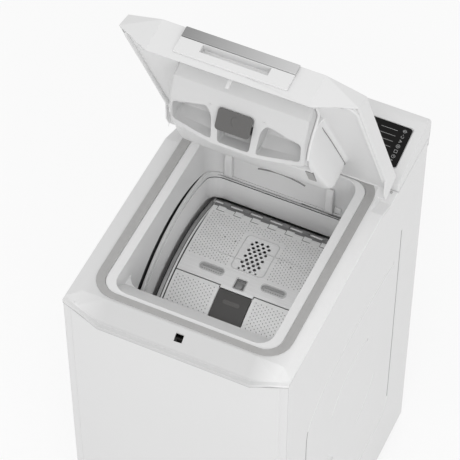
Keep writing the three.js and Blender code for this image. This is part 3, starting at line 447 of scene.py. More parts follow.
for name, node in nodes.items():
    node.material_slots[0].material = finishes[slotOf[name]].material
    node.data.polygons.foreach_set("use_smooth", [False] * len(node.data.polygons))
print("construction nodes finished")

view = {
    "position": Vector((1.028, -2.276, 3.949)),
    "target": Vector((-0.0214, -0.0368, 0.8444)),
    "lens": 187.5,
    "ambient": 0.75,
    "keyWatts": 26,
    "fillWatts": 5,
    "topWatts": 13,
    "floorSize": 14,
    "floorGlow": 0.82,
}


def aim(thing, position, target):
    thing.location = position
    thing.rotation_euler = (target - position).to_track_quat("-Z", "Y").to_euler()


def makeCamera():
    camera = bpy.data.objects.new("camera", bpy.data.cameras.new("camera"))
    camera.data.lens = view["lens"]
    camera.data.clip_end = 50
    scene.collection.objects.link(camera)
    aim(camera, view["position"], view["target"])
    scene.camera = camera


def addLamp(name, position, watts, size):
    lamp = bpy.data.objects.new(name, bpy.data.lights.new(name, "AREA"))
    lamp.data.shape = "DISK"
    lamp.data.size = size
    lamp.data.energy = watts
    scene.collection.objects.link(lamp)
    aim(lamp, Vector(position), Vector((0, 0, 0.8)))


def makeWorld():
    # White to the camera and in reflections, dimmer as a light.
    scene.world = bpy.data.worlds.new("studio")
    sky = Shades(scene.world)
    sky.tree.nodes.clear()
    seen = sky.rays("Camera", "Transmission", "Glossy")
    strength = seen.maths("MULTIPLY_ADD", seen, 1 - view["ambient"], view["ambient"])
    glow = sky.node("ShaderNodeBackground", {}, (1, 1, 1, 1), strength)
    sky.join(glow, sky.tree.nodes.new("ShaderNodeOutputWorld").inputs[0])


def makeFloor():
    bpy.ops.object.select_all(action="DESELECT")
    bpy.ops.mesh.primitive_plane_add(size=view["floorSize"])
    floor = bpy.context.object
    floor.name = "studioFloor"
    finish = Finish("floorPaper", Base_Color=(0.9, 0.9, 0.9, 1), Roughness=0.9)
    paper = Signal(finish, finish.shader.outputs[0])
    glow = finish.node("ShaderNodeEmission", {}, sockets={"Strength": 1.0})
    seen = finish.rays("Camera", "Glossy") * view["floorGlow"]
    share = finish.node("ShaderNodeMixShader", {}, seen, paper, glow)
    finish.join(share, finish.tree.nodes["Material Output"].inputs[0])
    floor.data.materials.append(finish.material)


makeCamera()
makeWorld()
makeFloor()
addLamp("keyLamp", (1.9, -2.9, 2.5), view["keyWatts"], 1.6)
addLamp("fillLamp", (-1.6, -1.0, 3.2), view["fillWatts"], 2.0)
addLamp("topLamp", (0.5, -1.7, 3.3), view["topWatts"], 0.9)
print("studio ready")


def addBox(low, high):
    low, high = Vector(low), Vector(high)
    bpy.ops.object.select_all(action="DESELECT")
    bpy.ops.mesh.primitive_cube_add(size=1, location=(low + high) / 2)
    piece = bpy.context.object
    piece.scale = high - low
    return fixed(piece)


def addRod(start, end, radius, sides=24):
    start, end = Vector(start), Vector(end)
    bpy.ops.object.select_all(action="DESELECT")
    bpy.ops.mesh.primitive_cone_add(
        vertices=sides, radius1=radius, radius2=radius,
        depth=(end - start).length, location=(start + end) / 2,
        rotation=(end - start).to_track_quat("Z", "Y").to_euler(),
    )
    return fixed(bpy.context.object)


def drawLine(at):
    # A run of points joined by edges, started from a plane merged to its centre; stays in edit mode.
    bpy.ops.object.select_all(action="DESELECT")
    bpy.ops.mesh.primitive_plane_add(size=1)
    bpy.ops.object.mode_set(mode="EDIT")
    bpy.ops.mesh.merge(type="CENTER")
    bpy.ops.transform.translate(value=at[0])
    for here, there in zip(at, at[1:]):
        bpy.ops.mesh.extrude_vertices_move(TRANSFORM_OT_translate={"value": there - here})
    return bpy.context.object


def addOutline(points, axis, start, end):
    # A closed outline drawn point by point across an axis, then pulled out along it.
    order = {"X": (2, 0, 1), "Y": (0, 2, 1), "Z": (0, 1, 2)}[axis]
    across = lambda *uvw: Vector([uvw[i] for i in order])
    drawLine([across(u, v, start) for u, v in points])
    bpy.ops.mesh.select_all(action="SELECT")
    bpy.ops.mesh.edge_face_add()
    pull = across(0, 0, end - start)
    bpy.ops.mesh.extrude_region_move(TRANSFORM_OT_translate={"value": pull})
    return closeMesh()


def addRing(points):
    # The same kind of outline as a bare ring of edges.
    ring = drawLine([Vector(point) for point in points])
    pickVertices(ring, lambda vertex: vertex.index in (0, len(points) - 1))
    bpy.ops.mesh.edge_face_add()
    return closeMesh(False)


def bridged(rings):
    # Rings in order, joined into one closed skin.
    openMesh(joined(rings))
    bpy.ops.mesh.bridge_edge_loops()
    bpy.ops.mesh.select_all(action="DESELECT")
    bpy.ops.mesh.select_non_manifold()
    bpy.ops.mesh.edge_face_add()
    return closeMesh()


def arcPoints(u, v, radius, start, end, steps):
    turns = [math.radians(start + (end - start) * i / steps) for i in range(steps + 1)]
    return [(u + radius * math.cos(a), v + radius * math.sin(a)) for a in turns]


def roundRect(u0, u1, v0, v1, radius, steps=6):
    left, right, low, high = u0 + radius, u1 - radius, v0 + radius, v1 - radius
    points = []
    for u, v, start in ((right, low, -90), (right, high, 0), (left, high, 90), (left, low, 180)):
        points += arcPoints(u, v, radius, start, start + 90, steps)
    return points


def filleted(points, radius, steps=4):
    # The same outline with each corner replaced by a short curve.
    out = []
    radii = radius if isinstance(radius, list) else [radius] * len(points)
    for i, (point, reach) in enumerate(zip(points, radii)):
        if not reach:
            out.append(point)
            continue
        here = Vector(point)
        runs = [Vector(points[k % len(points)]) - here for k in (i - 1, i + 1)]
        back, ahead = (here + run.normalized() * min(reach, run.length * 0.49) for run in runs)
        for k in range(steps + 1):
            t = k / steps
            out.append(tuple(back * (1 - t) ** 2 + here * 2 * t * (1 - t) + ahead * t ** 2))
    return out


def mirrored(points):
    return [(-u, v) for u, v in reversed(points)]


def between(sign, near, far):
    # A run from near to far on one side of the middle, its lower end first.
    return sorted((sign * near, sign * far))


def spanOf(node):
    # A construction node's lowest and highest corner in millimetres.
    return [[value * mm for value in corner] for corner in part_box(node)]


def joined(pieces):
    alone(pieces[0])
    for piece in pieces[1:]:
        piece.select_set(True)
    if len(pieces) > 1:
        bpy.ops.object.join()
    return bpy.context.object


def merged(pieces, angle=60):
    # The pieces as one, smooth across turns below the angle.
    return smooth(joined(pieces), angle, False)


def combined(piece, tool, operation="DIFFERENCE"):
    applied(piece, "BOOLEAN", operation=operation, object=tool, solver="EXACT")
    bpy.data.objects.remove(tool)
    return piece


def addTube(points, radius, closed=False, sides=8):
    # A round wire along the points, made as a curve and then a mesh.
    bpy.ops.object.select_all(action="DESELECT")
    bpy.ops.curve.primitive_nurbs_path_add()
    wire = bpy.context.object
    shape = wire.data
    shape.splines.clear()
    line = shape.splines.new("POLY")
    line.points.add(len(points) - 1)
    for spot, at in zip(line.points, points):
        spot.co = (*at, 1.0)
    line.use_cyclic_u = closed
    line.use_smooth = True
    shape.bevel_depth = radius
    shape.bevel_resolution = max(0, sides // 2 - 2)
    shape.use_fill_caps = not closed
    bpy.ops.object.convert(target="MESH")
    return bpy.context.object


def moved(piece, matrix):
    piece.matrix_world = matrix
    return fixed(piece)


def mirroredX(piece):
    # The same piece on the other side, with its faces turned outwards again.
    twin = twinOf(piece)
    twin.scale = (-1, 1, 1)
    openMesh(fixed(twin))
    return closeMesh()


def swungOpen(piece):
    # Turns a lid piece from the closed lid's place to where the lid stands open.
    about = Matrix.Translation(hinge) @ Matrix.Rotation(lidSwing, 4, "X") @ Matrix.Translation(-hinge)
    return moved(piece, about)


cabinet = {
    "creaseX": 135.5,
    "bow": 7,
    "bandX": 186,
    "sheet": 1.5,
    "lipDrop": 28,
    "lipEdge": 6.3,
    "doorGap": 0.6,
    "grooveRadius": 6,
    "grooveDepth": 1.3,
    "grooveLow": 155,
    "grooveFront": -205,
    "grooveRear": 194,
}


def makeFrontPanel():
    low, (half, rear, _) = spanOf("front_panel")
    crease, band, bow, sheet = (cabinet[key] for key in ("creaseX", "bandX", "bow", "sheet"))
    back = frontY + bow
    slope = (bow - 0.7) / (half - 5 - crease)
    bandY = frontY + slope * (band - crease)
    right = [
        (crease, frontY), (band - 1.2, bandY), (band, bandY + 1.4), (band + 0.6, bandY + 2.2),
        (half - 3.5, back + 0.9), (half - 0.8, back + 1.5), (half, rear), (half - sheet, rear),
        (half - 4, back + 2.0), (band - 1, bandY + sheet + 2.0), (band - 2.6, bandY + sheet),
        (crease, frontY + sheet),
    ]
    bend = [60, 0.8, 0.5, 0.4, 0.8, 0.4, 0, 0, 0.6, 0.5, 0.5, 60]
    panel = addOutline(filleted(right + mirrored(right), bend + bend[::-1], 5), "Z", low[2], deckTop)
    edge = cabinet["lipEdge"]
    lip = deckTop - cabinet["lipDrop"] - edge
    crest = [
        (-half - 2, deckTop - edge), (-crease, lip), (crease, lip), (half + 2, deckTop - edge),
        (half + 2, deckTop + 40), (-half - 2, deckTop + 40),
    ]
    combined(panel, addOutline(filleted(crest, [0, 30, 30, 0, 0, 0], 6), "Y", frontY - 10, frontY + 30))
    (x0, _, z0), (x1, _, z1) = spanOf("filter_door")
    gap = cabinet["doorGap"]
    opening = roundRect(x0 - gap, x1 + gap, z0 - gap, z1 + gap, 6)
    combined(panel, addOutline(opening, "Y", frontY - 5, frontY + 5))
    skinned(eased(panel, 0.4, 2, 40), "front_panel")


def makeFilterDoor():
    (x0, y0, z0), (x1, y1, z1) = spanOf("filter_door")
    door = addOutline(roundRect(x0, x1, z0, z1, 5.5), "Y", y0, y1)
    thumb = [(x0 + 34, z1 + 4), (x0 + 38, z1 - 9), (x1 - 38, z1 - 9), (x1 - 34, z1 + 4)]
    combined(door, addOutline(filleted(thumb, 5), "Y", y0 - 2, y0 + 0.8))
    skinned(eased(door, 0.4, 3, 40), "filter_door")


def grooveLines(side):
    # Pressed lines on the cabinet side, as (y, z) runs.
    low, front, rear = cabinet["grooveLow"], cabinet["grooveFront"], cabinet["grooveRear"]
    long = [(front, low + 40), (front, 590)]
    long += [(front + 48 - 48 * math.cos(a), 590 + 46 * math.sin(a)) for a in (0.4, 0.8, 1.2)]
    long += [(y, 658 - 0.00048 * (y + 20) ** 2) for y in (-140, -100, -60, -20, 20, 60, 100, 140)]
    long += [(165, 640)]
    upright = [(rear, 702), (rear, 500), (rear, 300), (rear - 1, 196)]
    upright += [(rear - 38 + 38 * math.cos(a), low + 38 - 38 * math.sin(a)) for a in (0.3, 0.7, 1.1, 1.45)]
    upright += [(120, low), (0, low), (-120, low)]
    upright += [(front + 40 - 40 * math.sin(a), low + 40 - 40 * math.cos(a)) for a in (0.1, 0.6, 1.1, 1.5)]
    sweeps = ((62, 14), (200, 4), (282, 8))
    arcs = [arcPoints(5, 440, 118, start, start + 6 * steps, steps) for start, steps in sweeps]
    return [long, upright, *arcs]


def makeSidePanel(name, side):
    panel = copyNode(name)
    radius, deep = cabinet["grooveRadius"], cabinet["grooveDepth"]
    x = side * (halfWidth + radius - deep)
    for line in grooveLines(side):
        combined(panel, addTube([(x, y, z) for y, z in line], radius, sides=12))
    openMesh(panel)
    bpy.ops.mesh.remove_doubles(threshold=0.02)
    bpy.ops.mesh.dissolve_degenerate(threshold=0.02)
    bpy.ops.mesh.dissolve_limited(angle_limit=math.radians(1))
    skinned(eased(closeMesh(False), 0.35, 2, 40, 24), name)


def makeSideLines():
    # A painted highlight line in each groove where it faces the light, and a painted shade line where it
    # turns away.
    for word, finish, radius in (("dark", shadeAndScrewGrey, 0.55), ("light", highlightWhite, 0.9)):
        lines = []
        for side in (-1, 1):
            long, upright, arc, _, low = grooveLines(side)
            runs = (long[:3], upright[:4]) if word == "dark" else (long[2:], upright[3:], arc, low)
            x = side * (halfWidth - 0.2 - radius)
            lines += [addTube([(x, y, z) for y, z in run], radius) for run in runs]
        line = merged(lines)
        settle(line, "side_lines_" + word, "cabinet", "cabinet_steel", finish=finish)


def makeThroat():
    # The throat, its front wall eased forward a little so that more of the drum shows.
    throat = copyNode("loading_throat")
    for reach in (-166, -173, -179, -184, -187):
        pickVertices(throat, lambda vertex: -194 < vertex.co.y < reach and vertex.co.z < deckTop - 20)
        bpy.ops.transform.translate(value=(0, -0.7, 0))
        closeMesh(False)
    skinned(eased(throat, 1.4, 3, 32), "loading_throat")


def makeDeckLines():
    # The soft shadow line under the deck's lip, and a screw at each rear corner.
    lip = deckTop - cabinet["lipDrop"]
    run = [
        (-199.6, frontY + 7.4, deckTop - 6.4), (-168, frontY + 3.4, deckTop - 17.5),
        (-135.5, frontY + 0.75, lip - 6.4),
    ]
    run += [(x, frontY + 0.75, lip - 6.4) for x in (-90, -45, 0, 45, 90)]
    run += [(-x, y, z) for x, y, z in run[2::-1]]
    line = merged([addTube(run, 0.7)])
    settle(line, "deck_line", "cabinet", "cover_plastic", finish=shadeAndScrewGrey)
    screws = [
        eased(addRod((x, 150, deckTop - 17), (x, 150, deckTop - 13.6), 2.2, 20), 0.5, 3, 40, 40, False)
        for x in (-190, 190)
    ]
    settle(joined(screws), "deck_screws", "cabinet", "plated_steel", finish=shadeAndScrewGrey)


makeFrontPanel()
makeFilterDoor()
makeSidePanel("side_panel_left", -1)
makeSidePanel("side_panel_right", 1)
makeSideLines()
softened("top_deck", 0.9, 3, 14, deckHighlightPlastic)
softened("lid_seal", 0.6, 3, 40)
makeThroat()
softened("console_housing", 2.6, 4, 12)
softened("hinge_bracket_left", 0.5, 2, 40)
softened("hinge_bracket_right", 0.5, 2, 40)
softened("lid_lock", 0.6, 2, 40)
makeDeckLines()
print("cabinet made")

mouth = {
    "half": 134,
    "front": -186,
    "rear": 131,
    "corner": 24,
    "level": 729,
    "archY": 14,
    "archZ": 550,
    "archRadius": 229.5,
    "wall": 2.2,
    "drumRoom": 240.5,
}


def mouthOutline(x, y, corner):
    half = mouth["half"] + x
    return roundRect(-half, half, mouth["front"] - y, mouth["rear"] + y, mouth["corner"] + corner, 10)


def ringAcross(outline, inner, z0, z1):
    ring = addOutline(outline, "Z", z0, z1)
    return combined(ring, addOutline(inner, "Z", z0 - 5, z1 + 5))


def archSolid(rise, most=math.inf):
    # All that lies under the mouth's arched edge, or under its level front, raised by some height.
    arc = arcPoints(mouth["archY"], mouth["archZ"], mouth["archRadius"] + rise, 0, 357, 119)
    front = addBox((-201, -300, 400), (201, 300, mouth["level"] + min(rise, most)))
    return combined(addOutline(arc, "X", -200, 200), front, "UNION")


def makeMouthBand(name, slot, inner, outer, heights):
    # A band that stands on the mouth's edge, between two heights above it.
    u, v = outer
    band = ringAcross(mouthOutline(u, v, v), mouthOutline(inner, inner, inner), 660, 812)
    low, high = heights
    combined(band, archSolid(low))
    combined(band, archSolid(high, 5.4), "INTERSECT")
    settle(eased(band, 0.5, 3, 40), name, "tub", slot)


def makeMouth():
    wall = mouth["wall"] - 0.3
    liner = ringAcross(mouthOutline(wall, wall, mouth["wall"]), mouthOutline(-0.3, -0.3, -0.3), 640, 800)
    combined(liner, archSolid(0), "INTERSECT")
    drumRoom = arcPoints(drumAxis.y, drumAxis.z, mouth["drumRoom"], 0, 357, 90)
    combined(liner, addOutline(drumRoom, "X", -200, 200))
    settle(eased(liner, 0.5, 2, 30), "mouth_liner", "tub", "tub_plastic")
    makeMouthBand("mouth_joint", "belt_rubber", 0.5, (4.4, 1.9), (0.2, 2.0))
    makeMouthBand("mouth_rim", "liner_plastic", 0.1, (4.9, 2.1), (2.1, 13))
    gasket = ringAcross(mouthOutline(10.1, 10.1, 10), mouthOutline(8.7, 8.7, 8.6), 700, 812)
    combined(gasket, archSolid(1))
    combined(gasket, archSolid(34), "INTERSECT")
    settle(eased(gasket, 0.3, 2, 40), "mouth_gasket", "tub", "belt_rubber")


def makeRimLines():
    # Thin shadow lines where the mouth's rear edge stands off its seal.
    y, radius = 131.2, 0.9
    curved = [(x, y, 757 + 0.004 * (x - 36) ** 1.5 - 0.06 * (x - 36)) for x in range(36, 80, 6)]
    level = [(x, y, 754) for x in (86, 93, 100, 107)]
    lines = merged([addTube(curved, radius), addTube(level, radius)])
    settle(lines, "mouth_rim_lines", "tub", "belt_rubber")


drumDoor = {
    "half": 114.5,
    "thick": 2,
    "split": -53,
    "tongueHalf": 30.5,
    "tongueReach": 4.5,
    "holeRadius": 2.85,
    "holePitch": (10.6, 6.9),
    "pipPitch": 4.9,
    "pipRadius": 1.15,
    "pipHeight": 0.6,
    "pipSkew": 38,
    "pipEdge": 109,
    "gripX": (36, 79),
    "gripY": (-37.5, -26.5),
    "panelX": 30.5,
    "panelY": (-18, 58),
    "pinRadius": 2.3,
    "drumRadius": 236,
}
button = {
    "half": 30,
    "front": -110,
    "rear": -59.8,
    "corner": 7.5,
    "radius": 237,
}


def flapFace(y):
    # Height of the rear flap's outer face, from its rises above the drum's axis.
    profile = (
        (-60, 223.3), (-57.5, 224.4), (-53, 226.4), (-35, 230.8), (-18, 233.6),
        (18, 236.3), (57, 235.4), (96, 232), (104, 230),
    )
    for (y0, z0), (y1, z1) in zip(profile, profile[1:]):
        if y0 <= y <= y1:
            return drumAxis.z + z0 + (z1 - z0) * (y - y0) / (y1 - y0)
    return drumAxis.z + profile[-1][1]


def drumAt(radius):
    # Height of a round face about the drum's axis.
    return lambda y: drumAxis.z + math.sqrt(radius ** 2 - (y - drumAxis.y) ** 2)


drumFace = drumAt(drumDoor["drumRadius"])


def layered(face, x0, x1, y0, y1, low, high, steps=8):
    # A sheet that follows a face, between two heights above it.
    ys = [y0 + (y1 - y0) * i / steps for i in range(steps + 1)]
    outline = [(y, face(y) + high) for y in ys] + [(y, face(y) + low) for y in reversed(ys)]
    return addOutline(outline, "X", x0, x1)


def through(outline):
    # An upright block that reaches right through the drum's door.
    return addOutline(outline, "Z", 600, 760)


def pierced(tab, x, reach, pin):
    # The tab with the hinge pin's bore through it.
    bore = addRod((x - reach, pin.y, pin.z), (x + reach, pin.y, pin.z), drumDoor["pinRadius"], 20)
    return combined(tab, bore)


def addPip(radius, height):
    # A low dome, started from a ball whose lower part is cut away.
    bpy.ops.object.select_all(action="DESELECT")
    bpy.ops.mesh.primitive_uv_sphere_add(segments=8, ring_count=6, radius=1)
    pip = bpy.context.object
    pip.scale = (radius * 0.8, radius * 1.2, height * 1.6)
    openMesh(fixed(pip))
    bpy.ops.mesh.bisect(plane_co=(0, 0, height * 0.2), plane_no=(0, 0, 1), clear_inner=True, use_fill=True)
    return closeMesh(False)


def pipRows(face, start, count, spans):
    # Rows of domes that lean with the surface; every other row is shifted half a pitch.
    pitch = drumDoor["pipPitch"] * 2
    master = addPip(drumDoor["pipRadius"], drumDoor["pipHeight"])
    skew = Matrix.Rotation(math.radians(drumDoor["pipSkew"]), 4, "Z")
    made = []
    for number in range(count):
        y = start + number * drumDoor["pipPitch"] * 0.62
        shift = pitch / 2 if number % 2 else 0
        lean = Matrix.Rotation(math.atan2(face(y + 1) - face(y - 1), 2), 4, "X")
        for x0, x1 in spans(y):
            first = math.ceil((x0 - shift) / pitch)
            last = math.floor((x1 - shift) / pitch)
            at = Matrix.Translation((first * pitch + shift, y, face(y) - 0.16))
            made.append(applied(
                moved(twinOf(master), at @ (lean @ skew)), "ARRAY", count=last - first + 1,
                use_relative_offset=False, use_constant_offset=True, constant_offset_displace=(pitch, 0, 0),
            ))
    bpy.data.objects.remove(master)
    return merged(made, 80)


def addRidge(path, radius, face):
    # A low raised line that follows the plate, its long runs divided so that they follow the curve.
    fine = []
    for (x0, y0), (x1, y1) in zip(path, path[1:] + path[:1]):
        steps = max(1, int(math.hypot(x1 - x0, y1 - y0) / 7))
        fine += [(x0 + (x1 - x0) * i / steps, y0 + (y1 - y0) * i / steps) for i in range(steps)]
    return addTube([(x, y, face(y) - radius * 0.35) for x, y in fine], radius, True)


def onRearFlap(piece, name, finish=None):
    settle(piece, name, "rear_flap", "flap_steel", finish=finish)


def makeRearFlap():
    door = drumDoor
    half, split, tongue = door["half"], door["split"], door["tongueHalf"]
    plate = layered(flapFace, -half, half, split - door["tongueReach"], 103, -door["thick"], 0, 56)
    side = [(tongue, split - 20), (half + 5, split - 20), (half + 5, split), (tongue, split)]
    for sign in (-1, 1):
        combined(plate, through([(x * sign, y) for x, y in side]))
    holes = []
    across, along = door["holePitch"]
    for row in range(10):
        count = 4 if row % 2 == 0 else 3
        for column in range(count):
            x, y = (column - (count - 1) / 2) * across, -14 + row * along
            holes.append(addRod((x, y, 700), (x, y, 740), door["holeRadius"] if row else 2, 16))
    combined(plate, joined(holes))
    y0, y1 = door["gripY"]
    for sign in (-1, 1):
        combined(plate, through(roundRect(*between(sign, *door["gripX"]), y0, y1, 5.4)))
    combined(plate, through(roundRect(-9.2, 9.2, -51, -32.5, 2)))
    eased(plate, 0.45, 2, 50)
    eyes = []
    for i in range(6):
        x = (i - 2.5) * 37.7
        eye = addOutline([
            (94, 714.9), (103, 714.2), (109, 714), (112.4, 712.4), (113.9, 708.4), (112.6, 705),
            (109, 703.6), (105.8, 705), (104.5, 708.5), (94, 711),
        ], "X", x - 6.8, x + 6.8)
        eyes.append(eased(pierced(eye, x, 10, rearPin), 0.5, 2, 40, 35, False))
    skinned(plate, "rear_flap")
    onRearFlap(joined(eyes), "rear_flap_eyes", eyeSteel)
    rims = [addRidge(roundRect(-door["panelX"], door["panelX"], *door["panelY"], 8), 1.2, flapFace)]
    for sign in (-1, 1):
        x0, x1 = between(sign, *door["gripX"])
        rims.append(addRidge(roundRect(x0 - 1.2, x1 + 1.2, y0 - 1.2, y1 + 1.2, 6.4), 1.5, flapFace))
    rims.append(addRidge(roundRect(-10.4, 10.4, -52, -31.3, 2.6), 0.8, flapFace))
    onRearFlap(merged(rims, 80), "rear_flap_ridges", ridgeSteel)
    makeHingeStrip()
    edge = door["pipEdge"]

    def spans(y):
        # The pips leave the middle panel free.
        if door["panelY"][0] - 6 < y < door["panelY"][1] + 5:
            return ((-edge, -37), (37, edge))
        return ((-edge, edge),)

    onRearFlap(pipRows(flapFace, start=-16, count=33, spans=spans), "rear_flap_pips", pipShadeSteel)
    makeGrips()
    makeLatchPocket()


def makeHingeStrip():
    # The dark strip along the hinge and four dark dots, all painted shade, and the stamped tabs in front of
    # it.
    half = drumDoor["half"] - 0.6
    shades = [rounded(layered(flapFace, -half, half, 95.5, 103, -0.3, 0.45), 0.2, 2, 50)]
    tabs = []
    for i in range(7):
        x = (i - 3) * 32.5
        shades.append(rounded(layered(flapFace, x - 8.4, x + 7.2, 86.2, 96, -0.3, 0.3, 4), 0.15, 2, 50))
        tabs.append(rounded(layered(flapFace, x - 7.2, x + 7.2, 87.6, 97.2, -0.3, 0.95, 4), 0.3, 2, 50))
    for x, y in ((-65, 36), (-44.5, 34), (44.5, 24), (65, 22)):
        shades.append(addRod((x, y, flapFace(y) - 1), (x, y, flapFace(y) + 0.25), 1.5, 14))
    onRearFlap(merged(shades, 40), "hinge_strip", hingeShadeSteel)
    onRearFlap(merged(tabs, 40), "hinge_tabs")


def makeGrips():
    # Hollow finger grips with fine ribs across their floor.
    y0, y1 = drumDoor["gripY"]
    z = flapFace((y0 + y1) / 2)
    for sign, word in ((-1, "left"), (1, "right")):
        u0, u1 = between(sign, *drumDoor["gripX"])
        cup = addOutline(roundRect(u0 - 0.7, u1 + 0.7, y0 - 0.7, y1 + 0.7, 6), "Z", z - 7, z - 1.4)
        combined(cup, addOutline(roundRect(u0 + 0.6, u1 - 0.6, y0 + 0.6, y1 - 0.6, 4.8), "Z", z - 4.4, z + 4))
        onRearFlap(eased(cup, 0.4, 2, 40), "grip_" + word, ridgeSteel)
        ribs = [addBox((u0 + 3, y1 - 3.4, z - 4.6), (u1 - 3, y1 - 1.8, z - 3.2))]
        for i in range(9):
            x = u0 + 4.2 + i * (u1 - u0 - 8.4) / 8
            ribs.append(addBox((x - 0.9, y0 + 1.2, z - 4.6), (x + 0.9, y0 + 3.8, z - 3.2)))
        onRearFlap(joined([rounded(rib, 0.4, 2, 40) for rib in ribs]), "grip_ribs_" + word, gripShadeSteel)


def makeLatchPocket():
    z = flapFace(-42)
    cup = addOutline(roundRect(-9.8, 9.8, -51.6, -32, 2.4), "Z", z - 6.5, z - 1.6)
    combined(cup, addOutline(roundRect(-8.6, 8.6, -50.4, -33.2, 1.6), "Z", z - 5.3, z + 4))
    tongue = [(-50, z - 5.6), (-50, z - 1.2), (-47, z - 0.6), (-40, z - 2.6), (-36, z - 5.6)]
    tongue = eased(addOutline(tongue, "X", -5.4, 5.4), 0.5, 2, 30)
    onRearFlap(joined([eased(cup, 0.4, 2, 40), tongue]), "latch_pocket", gripShadeSteel)


def makeFrontFlap():
    door = drumDoor
    half, front = button["half"], button["front"]
    free, notch = door["split"] - 1.8, door["split"] - door["tongueReach"] - 1.3
    plate = layered(drumFace, -door["half"], door["half"], -141, free, -door["thick"], 0, 32)
    tongue, wide = door["tongueHalf"] + 1.5, half + 1.3
    right = [(wide, front - 1.3), (wide, notch), (tongue, notch), (tongue, free + 5)]
    gap = filleted(mirrored(right) + right, [0, 1, 0, 8.5, 8.5, 0, 1, 0], 6)
    combined(plate, through(gap))
    combined(plate, joined([addRod((x, -112, 640), (x, -112, 760), 1.4, 12) for x in (-65, -44.5, 44.5, 65)]))
    eased(plate, 0.45, 2, 50)
    wall = drumAt(234.8)
    parts = [plate, layered(drumAt(227.2), -half - 2, half + 2, front - 2, notch, -1.2, 0, 12)]
    for y0 in (front - 2, notch - 1.4):
        parts.append(layered(wall, -half - 2, half + 2, y0, y0 + 1.4, -8, 0, 2))
    for sign in (-1, 1):
        x = sign * (half + 1.4)
        parts.append(layered(wall, x - 0.6, x + 0.6, front - 2, notch, -8, 0, 12))
    pin = frontPin
    for i in range(4):
        x = (i - 1.5) * 56
        tab = addOutline([
            (-138, drumFace(-138)), (-138, drumAt(232)(-138)), (pin.y + 1, pin.z - 4),
            (pin.y - 2.5, pin.z - 3.6), (pin.y - 4.4, pin.z), (pin.y - 3, pin.z + 3.4), (pin.y, pin.z + 4.4),
        ], "X", x - 9, x + 9)
        parts.append(eased(pierced(tab, x, 15, pin), 0.5, 2, 40, 35, False))
    skinned(joined(parts), "front_flap")
    edge = door["pipEdge"]
    pips = pipRows(drumFace, start=-135, count=25, spans=lambda y: ((-edge, -36), (36, edge)))
    settle(pips, "front_flap_pips", "front_flap", "flap_steel", finish=pipShadeSteel)


def makeLatchButton():
    half, front, rear, corner = (button[key] for key in ("half", "front", "rear", "corner"))
    face = drumAt(button["radius"])
    cap = layered(face, -half, half, front, rear, -4.2, 0, 24)
    outline = [(-half, rear + 5), (-half, front), (half, front), (half, rear + 5)]
    combined(cap, through(filleted(outline, [0, corner, corner, 0], 8)), "INTERSECT")
    skinned(eased(cap, 0.7, 3, 40), "latch_button")
    oval = layered(face, -16, 16, -82, -75, -0.3, 0.35)
    combined(oval, through(roundRect(-15.5, 15.5, -82, -75, 3.4)), "INTERSECT")
    settle(eased(oval, 0.25, 3, 50), "latch_button_mark", "latch_button", "dark_plastic", finish=markPlastic)


def makeDrum():
    skinned(smooth(copyNode("drum_shell"), 12), "drum_shell")
    # The dark strips are painted shade in the gaps beside the door and at the mouth's edge; the raised pale
    # ones are the door's border.
    light, dark = [], []
    for sign in (-1, 1):
        for near, far, rise, kept in (
            (115, 116.4, 0.3, dark), (116.4, 119.6, 1.3, light),
            (119.6, 121.2, 0.3, dark), (127.5, 128.6, 0.3, dark),
        ):
            line = layered(drumFace, *between(sign, near, far), -150, 112, -0.4, rise, 80)
            kept.append(eased(line, 0.15, 2, 50, 30, False))
    # The strip behind the hinge is painted shade, in a darker door steel.
    strip = layered(drumFace, -128, 128, 104.6, 128, -0.4, 0.4, 10)
    settle(joined(light), "drum_border", "drum", "flap_steel")
    settle(joined(dark), "drum_gap_shade", "drum", "drum_steel", finish=gapShadeBlack)
    settle(smooth(strip, 30, False), "drum_hinge_strip", "drum", "drum_steel", finish=gripShadeSteel)


makeMouth()
makeRimLines()
makeDrum()
makeRearFlap()
makeFrontFlap()
makeLatchButton()
print("mouth and drum door made")

lidShell = {
    "lip": 836,
    "topY": -280,
    "topZ": 896,
    "handleHalf": 94.5,
}
dispenser = {
    "half": 119.5,
    "edges": (116, 112, 100, 80, 60, 35),
    "hollow": 113,
    "face": (-178, 824, 0.787, 0.617),
}


def lidFront(up, out):
    # A point on the lid's front face: up along it from the lip, and out from it.
    rise = Vector((lidShell["topY"] - frontY, lidShell["topZ"] - lidShell["lip"])).normalized()
    return (frontY + up * rise.x - out * rise.y, lidShell["lip"] + up * rise.y + out * rise.x)


def frontSlab(half, *points):
    # A bar along the lid's front face, its section given as points up it and out from it.
    return addOutline([lidFront(*point) for point in points], "X", -half, half)


def frontBar(half, up0, up1, out0, out1):
    return frontSlab(half, (up0, out0), (up1, out0), (up1, out1), (up0, out1))


def blockFace(down, deep):
    # A point on the dispenser's sloping face: down from its top edge, and deep into the block.
    y, z, along, inward = dispenser["face"]
    return (y + along * down + inward * deep, z - inward * down + along * deep)


def onLid(piece, name, slot, finish=None):
    settle(swungOpen(piece), name, "lid", slot, finish=finish)


def cutPocket(block, outline):
    # A pocket drawn on the sloping face and sunk into the block, its floor rising towards the back.
    rear = max(down for x, down in outline) - 14
    return combined(block, bridged([
        addRing([(x * draw, *blockFace(min(down, far), deep)) for x, down in outline])
        for draw, far, deep in ((1, math.inf, -18), (0.995, math.inf, 24), (0.98, rear, 45))
    ]))


